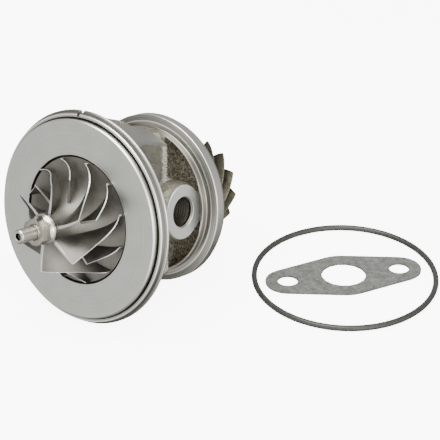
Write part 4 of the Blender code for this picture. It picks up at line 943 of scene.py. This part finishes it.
def blade(name, root, tip, turn, thickness, start=0.0):
    """A grid is wrapped round the blade's section at each place along it, from root over tip to
    root. root and tip give (radius, depth) in mm for a share of the length, turn gives the angle,
    and thickness the half thickness in mm for a share of the length and of the height. The crest
    attribute is 1 on the flat top edges and 0.6 on the leading and trailing edges; the finishes
    make these bright, partly as machined metal and partly as a painted highlight."""
    bpy.ops.object.select_all(action="DESELECT")
    bpy.ops.mesh.primitive_grid_add(x_subdivisions=GRID_LONG, y_subdivisions=2 * GRID_HIGH, size=1)
    piece = bpy.context.object
    piece.name = name
    crest = piece.data.attributes.new("crest", "FLOAT", "POINT")
    for vertex in piece.data.vertices:
        column = round((vertex.co.x + 0.5) * GRID_LONG)
        row = round(2 * vertex.co.y * GRID_HIGH)
        steps_in = max(0, min(column, GRID_LONG - column) - 1)
        ahead = max(0.0, min(1.0, (column - 1) / (GRID_LONG - 2)))
        if steps_in == 1:
            ahead = EDGE_STRIP if ahead < 0.5 else 1 - EDGE_STRIP
        share = start + (1 - start) * ahead
        up = 1 - max(0, abs(row) - 1) / (GRID_HIGH - 1)
        if abs(row) == 2:
            up = 1 - EDGE_STRIP
        foot, top = root(share), tip(share)
        radius = foot[0] + (top[0] - foot[0]) * up
        depth = foot[1] + (top[1] - foot[1]) * up
        on_end = column in (0, GRID_LONG)
        half = 0.0 if on_end or row == 0 else thickness(share, up)
        angle = turn(share, up) + math.copysign(half, row) / max(radius, 1.0)
        vertex.co = Vector((radius * math.cos(angle), radius * math.sin(angle), -depth)) * MM
        # The flat top edge gets 1 and the leading and trailing edges 0.6, which carries a painted
        # highlight.
        crest.data[vertex.index].value = 1.0 if abs(row) <= 1 else 0.6 if steps_in == 0 else 0.0
    bpy.ops.object.mode_set(mode="EDIT")
    bpy.ops.mesh.select_all(action="SELECT")
    bpy.ops.mesh.remove_doubles(threshold=0.002 * MM)
    bpy.ops.mesh.normals_make_consistent(inside=False)
    bpy.ops.object.mode_set(mode="OBJECT")
    bpy.ops.object.shade_smooth_by_angle(angle=math.radians(50))
    return piece


def ring_of(piece, count, clocking):
    """Copies a blade round the shaft, each copy with its own mesh."""
    copies = []
    for number in range(count):
        pick(piece)
        bpy.ops.object.duplicate(linked=False)
        turned_copy = bpy.context.object
        angle = clocking + 2 * math.pi * number / count
        turned_copy.matrix_world = Matrix.Rotation(angle, 4, "Z")
        bpy.ops.object.transform_apply(location=True, rotation=True, scale=True)
        copies.append(turned_copy)
    bpy.data.objects.remove(piece)
    return copies


TURBINE_DEPTH = 44.0
TURBINE_BLADES = 13
TURBINE_CLOCKING = math.radians(-24)
TURBINE_CURL = math.radians(46)
TURBINE_LEAN = math.radians(30)
DISC_RADIUS = 12.6
NOSE_FOOT = TURBINE_DEPTH + 17.0
NOSE_END = TURBINE_DEPTH + 19.7


def turbine_tip(share):
    return quarter((18.0, TURBINE_DEPTH + 5.9), (15.3, NOSE_FOOT), share, True)


def turbine_root(share):
    return quarter((17.9, TURBINE_DEPTH + 0.3), (4.0, NOSE_FOOT), share, True)


def turbine_turn(share, up):
    curled = max(0.0, share - 0.2) / 0.8
    return TURBINE_CURL * curled**1.7 + TURBINE_LEAN * (1 - up) * share**2


def turbine_thickness(share, up):
    return 0.65 - 0.35 * up


hub = [
    (0.2, TURBINE_DEPTH + 0.05),
    (DISC_RADIUS - 0.2, TURBINE_DEPTH + 0.05),
    (DISC_RADIUS, TURBINE_DEPTH + 0.3),
]
for step in range(15):
    hub.append(quarter((DISC_RADIUS, TURBINE_DEPTH + 1.0), (5.0, NOSE_FOOT), step / 14, True))
hub += [
    (4.6, NOSE_FOOT + 0.2),
    (3.9, NOSE_FOOT + 0.3),
    (3.9, NOSE_END - 0.3),
    (3.6, NOSE_END),
    (1.0, NOSE_END),
    (0.2, NOSE_END - 0.6),
]
turbine_hub = lathe("turbine_hub", hub, 128)
vane = blade("vane", turbine_root, turbine_tip, turbine_turn, turbine_thickness)
vanes = ring_of(vane, TURBINE_BLADES, TURBINE_CLOCKING)
turbine = join([turbine_hub, *vanes], "turbine_casting")

HEAT_DARK = (0.045, 0.042, 0.026)
HEAT_BROWN = (0.095, 0.09, 0.06)
GROUND_TIP_AND_HIGHLIGHT = (0.24, 0.23, 0.19)

hot = Finish("hot_alloy", HEAT_BROWN, 0.45, 0.85)
local = hot.place(cartridge)
grain = hot.noise(local, 0.5 * MM, 3.0)
tint = hot.noise(local, 4 * MM, 3.0)
cast_dark = hot.mix(hot.ramp(tint, 0.35, 0.65), HEAT_DARK, HEAT_BROWN)
# Where the crest attribute is high the blades are lighter: ground tips, and a painted highlight on
# the leading and trailing edges.
hot.feed(
    Roughness=hot.ramp(grain, 0.3, 0.7, 0.42, 0.56),
    **{"Base Color": hot.mix(hot.attribute("crest"), cast_dark, GROUND_TIP_AND_HIGHLIGHT)},
)
hot.bump(grain, 0.03 * MM, 0.5)
turbine.data.materials.append(hot.material)
settle(turbine, "rotor")
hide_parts("turbine_wheel")

# The compressor wheel: aluminium alloy, milled from solid. Six full blades start at the nose, six
# splitters start further down, and all follow the trumpet-shaped hub out to the rim.

NOSE_DEPTH = -13.8
TIP_START = -13.6
WHEEL_RADIUS = 19.8
RIM_DEPTH = 0.5
WHEEL_BORE = 2.6
WHEEL_BACK = 3.7
BLADE_PAIRS = 6
BLADE_CLOCKING = math.radians(19)
BLADE_WRAP = math.radians(55)
NOSE_LEAN = math.radians(-7)
SPLITTER_START = 0.36


def wheel_tip(share):
    return quarter((14.4, TIP_START), (WHEEL_RADIUS, RIM_DEPTH - 1.9), share, False)


def wheel_root(share):
    return quarter((4.2, TIP_START), (WHEEL_RADIUS, RIM_DEPTH + 0.3), share, False)


def wheel_turn(share, up):
    lean = NOSE_LEAN * (1 - up) * (1 - share) ** 2
    return lean + BLADE_WRAP * (1.6 * share - 1.1 * share**2 + 0.5 * share**3)


def wheel_thickness(share, up):
    return 0.50 - 0.29 * up


trumpet = [(WHEEL_BORE, NOSE_DEPTH)]
for step in range(21):
    trumpet.append(quarter((4.8, NOSE_DEPTH), (19.9, RIM_DEPTH), step / 20, False))
trumpet += [
    (19.9, 2.0),
    (6.0, WHEEL_BACK - 0.3),
    (6.0, WHEEL_BACK),
    (WHEEL_BORE, WHEEL_BACK),
    (WHEEL_BORE, NOSE_DEPTH),
]
wheel_hub = lathe("wheel_hub", trumpet, 160)
full = blade("full_blade", wheel_root, wheel_tip, wheel_turn, wheel_thickness)
splitter = blade(
    "splitter", wheel_root, wheel_tip, wheel_turn, wheel_thickness, start=SPLITTER_START
)
blades = ring_of(full, BLADE_PAIRS, BLADE_CLOCKING)
blades += ring_of(splitter, BLADE_PAIRS, BLADE_CLOCKING + math.pi / BLADE_PAIRS)
wheel = join([wheel_hub, *blades], "wheel_milled")

MILLED_DARK = (0.142, 0.135, 0.117)
MILLED_GREY = (0.19, 0.183, 0.162)
TURNED_CREST_AND_HIGHLIGHT = (0.95, 0.94, 0.91)

milled = Finish("milled_alloy", MILLED_GREY, 0.26, 1.0)
local = milled.place(cartridge)
cutter_rows = milled.noise_along(milled.from_shaft(local) - milled.part(local, "Z"), 0.5 * MM)
cloud = milled.noise(local, 6 * MM)
body_colour = milled.mix(milled.ramp(cloud, 0.3, 0.7), MILLED_DARK, MILLED_GREY)
# The crests are painted near white: partly the turned edge, partly a painted highlight.
milled.feed(
    Roughness=milled.ramp(cutter_rows * 0.3 + cloud * 0.7, 0.3, 0.7, 0.40, 0.48),
    **{"Base Color": milled.mix(milled.attribute("crest"), body_colour, TURNED_CREST_AND_HIGHLIGHT)},
)
milled.bump(cutter_rows, 0.004 * MM, 0.3)
wheel.data.materials.append(milled.material)
settle(wheel, "rotor")
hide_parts("compressor_wheel")

# The shaft nut: a small steel hexagon with a conical flange, turned from bar and left bright. It
# clamps the compressor wheel on the shaft's stub.

NUT_SEAT = -14.1
NUT_FRONT = -19.2
NUT_BORE = 2.5
NUT_CORNER = 4.62
FLANGE_FRONT = -15.0

nut_flange = lathe(
    "nut_flange",
    [
        (NUT_BORE, NUT_SEAT),
        (NUT_BORE, -16.1),
        (3.9, -16.1),
        (4.9, -15.1),
        (5.0, -14.9),
        (5.0, -14.3),
        (4.8, NUT_SEAT),
        (NUT_BORE, NUT_SEAT),
    ],
    96,
)
nut_hex = lathe(
    "nut_hex",
    [
        (NUT_BORE, FLANGE_FRONT),
        (NUT_BORE, -19.0),
        (2.8, NUT_FRONT),
        (NUT_CORNER, NUT_FRONT),
        (NUT_CORNER, FLANGE_FRONT),
        (NUT_BORE, FLANGE_FRONT),
    ],
    6,
    smooth=1,
)
nut_cone = lathe("nut_cone", [(4.05, -19.3), (4.7, -18.6), (4.7, FLANGE_FRONT)], 96)
nut_bore = lathe("nut_bore", [(STUB_RADIUS, -19.6), (STUB_RADIUS, -13.0)], 96)
combine(nut_hex, nut_cone, "INTERSECT")
combine(nut_hex, nut_bore, "DIFFERENCE")
nut = join([nut_flange, nut_hex], "nut_steel")
break_edges(nut, 0.12)

HEX_DARK = (0.32, 0.30, 0.255)
HEX_LIGHT = (0.40, 0.38, 0.33)
FLANGE_PAINTED_HIGHLIGHT = (0.60, 0.58, 0.52)

nut_bright = Finish("bright_nut", HEX_LIGHT, 0.24, 1.0)
local = nut_bright.place(cartridge)
forward = nut_bright.part(local, "Z")
turning = nut_bright.noise_along(nut_bright.from_shaft(local) + forward, 0.3 * MM)
# The conical flange is painted lighter than the hex of the same steel: a painted highlight.
on_flange = nut_bright.ramp(forward, 16.0 * MM, 16.2 * MM, 1.0, 0.0)
hex_colour = nut_bright.mix(turning, HEX_DARK, HEX_LIGHT)
nut_bright.feed(
    Roughness=nut_bright.ramp(turning, 0.3, 0.7, 0.20, 0.28),
    **{"Base Color": nut_bright.mix(on_flange, hex_colour, FLANGE_PAINTED_HIGHLIGHT)},
)
nut_bright.bump(turning, 0.004 * MM, 0.4)
nut.data.materials.append(nut_bright.material)
settle(nut, "rotor")
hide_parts("compressor_nut")

# The flange O-ring: moulded in black rubber, matt and slightly dusty. It seals the compressor
# flange in the compressor housing, and lies loose on the ground here, a little oval.

O_RING_RADIUS = 31.3
O_RING_SECTION = 0.97
RUBBER_BLACK = (0.028, 0.028, 0.024)
RUBBER_DUST = (0.042, 0.042, 0.037)

ring_low, ring_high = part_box("flange_o_ring")
ring_middle = (ring_low + ring_high) / 2
bpy.ops.object.select_all(action="DESELECT")
bpy.ops.mesh.primitive_torus_add(
    location=ring_middle,
    major_radius=O_RING_RADIUS * MM,
    minor_radius=O_RING_SECTION * MM,
    major_segments=200,
    minor_segments=32,
)
o_ring = bpy.context.object
o_ring.name = "o_ring_rubber"
whole = ring_high - ring_low
drawn = 2 * (O_RING_RADIUS + O_RING_SECTION) * MM
o_ring.scale = (whole.x / drawn, whole.y / drawn, 1)
bpy.ops.object.shade_smooth()
rubber = Finish("dusty_rubber", RUBBER_BLACK, 0.55, 0.0)
dust = rubber.noise(rubber.place(), 1.2 * MM, 4.0)
rubber.feed(
    Roughness=rubber.ramp(dust, 0.3, 0.7, 0.34, 0.46),
    **{"Base Color": rubber.mix(rubber.ramp(dust, 0.4, 0.75), RUBBER_BLACK, RUBBER_DUST)},
)
rubber.bump(dust, 0.01 * MM, 0.4)
o_ring.data.materials.append(rubber.material)
settle(o_ring, "housing", Matrix.Identity(4))
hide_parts("flange_o_ring")

# The oil drain gasket: punched from grey fibre sheet, with a speckled face. It goes between the
# drain pad and the oil return pipe, and lies loose here. It keeps its modelled shape.

FIBRE_DARK = (0.070, 0.074, 0.064)
FIBRE_GREY = (0.175, 0.18, 0.165)

fibre = Finish("fibre_sheet", FIBRE_GREY, 0.85, 0.0)
fleck = fibre.noise(fibre.place(), 0.5 * MM, 5.0, 0.7)
mottle = fibre.noise(fibre.place(), 1.6 * MM, 3.0)
fibre.feed(
    Roughness=fibre.ramp(fleck, 0.3, 0.7, 0.78, 0.95),
    **{
        "Base Color": fibre.mix(
            fibre.ramp(fleck * 0.6 + mottle * 0.4, 0.35, 0.65), FIBRE_DARK, FIBRE_GREY
        )
    },
)
fibre.bump(fleck, 0.06 * MM, 0.8)
dress("drain_gasket", fibre.material)
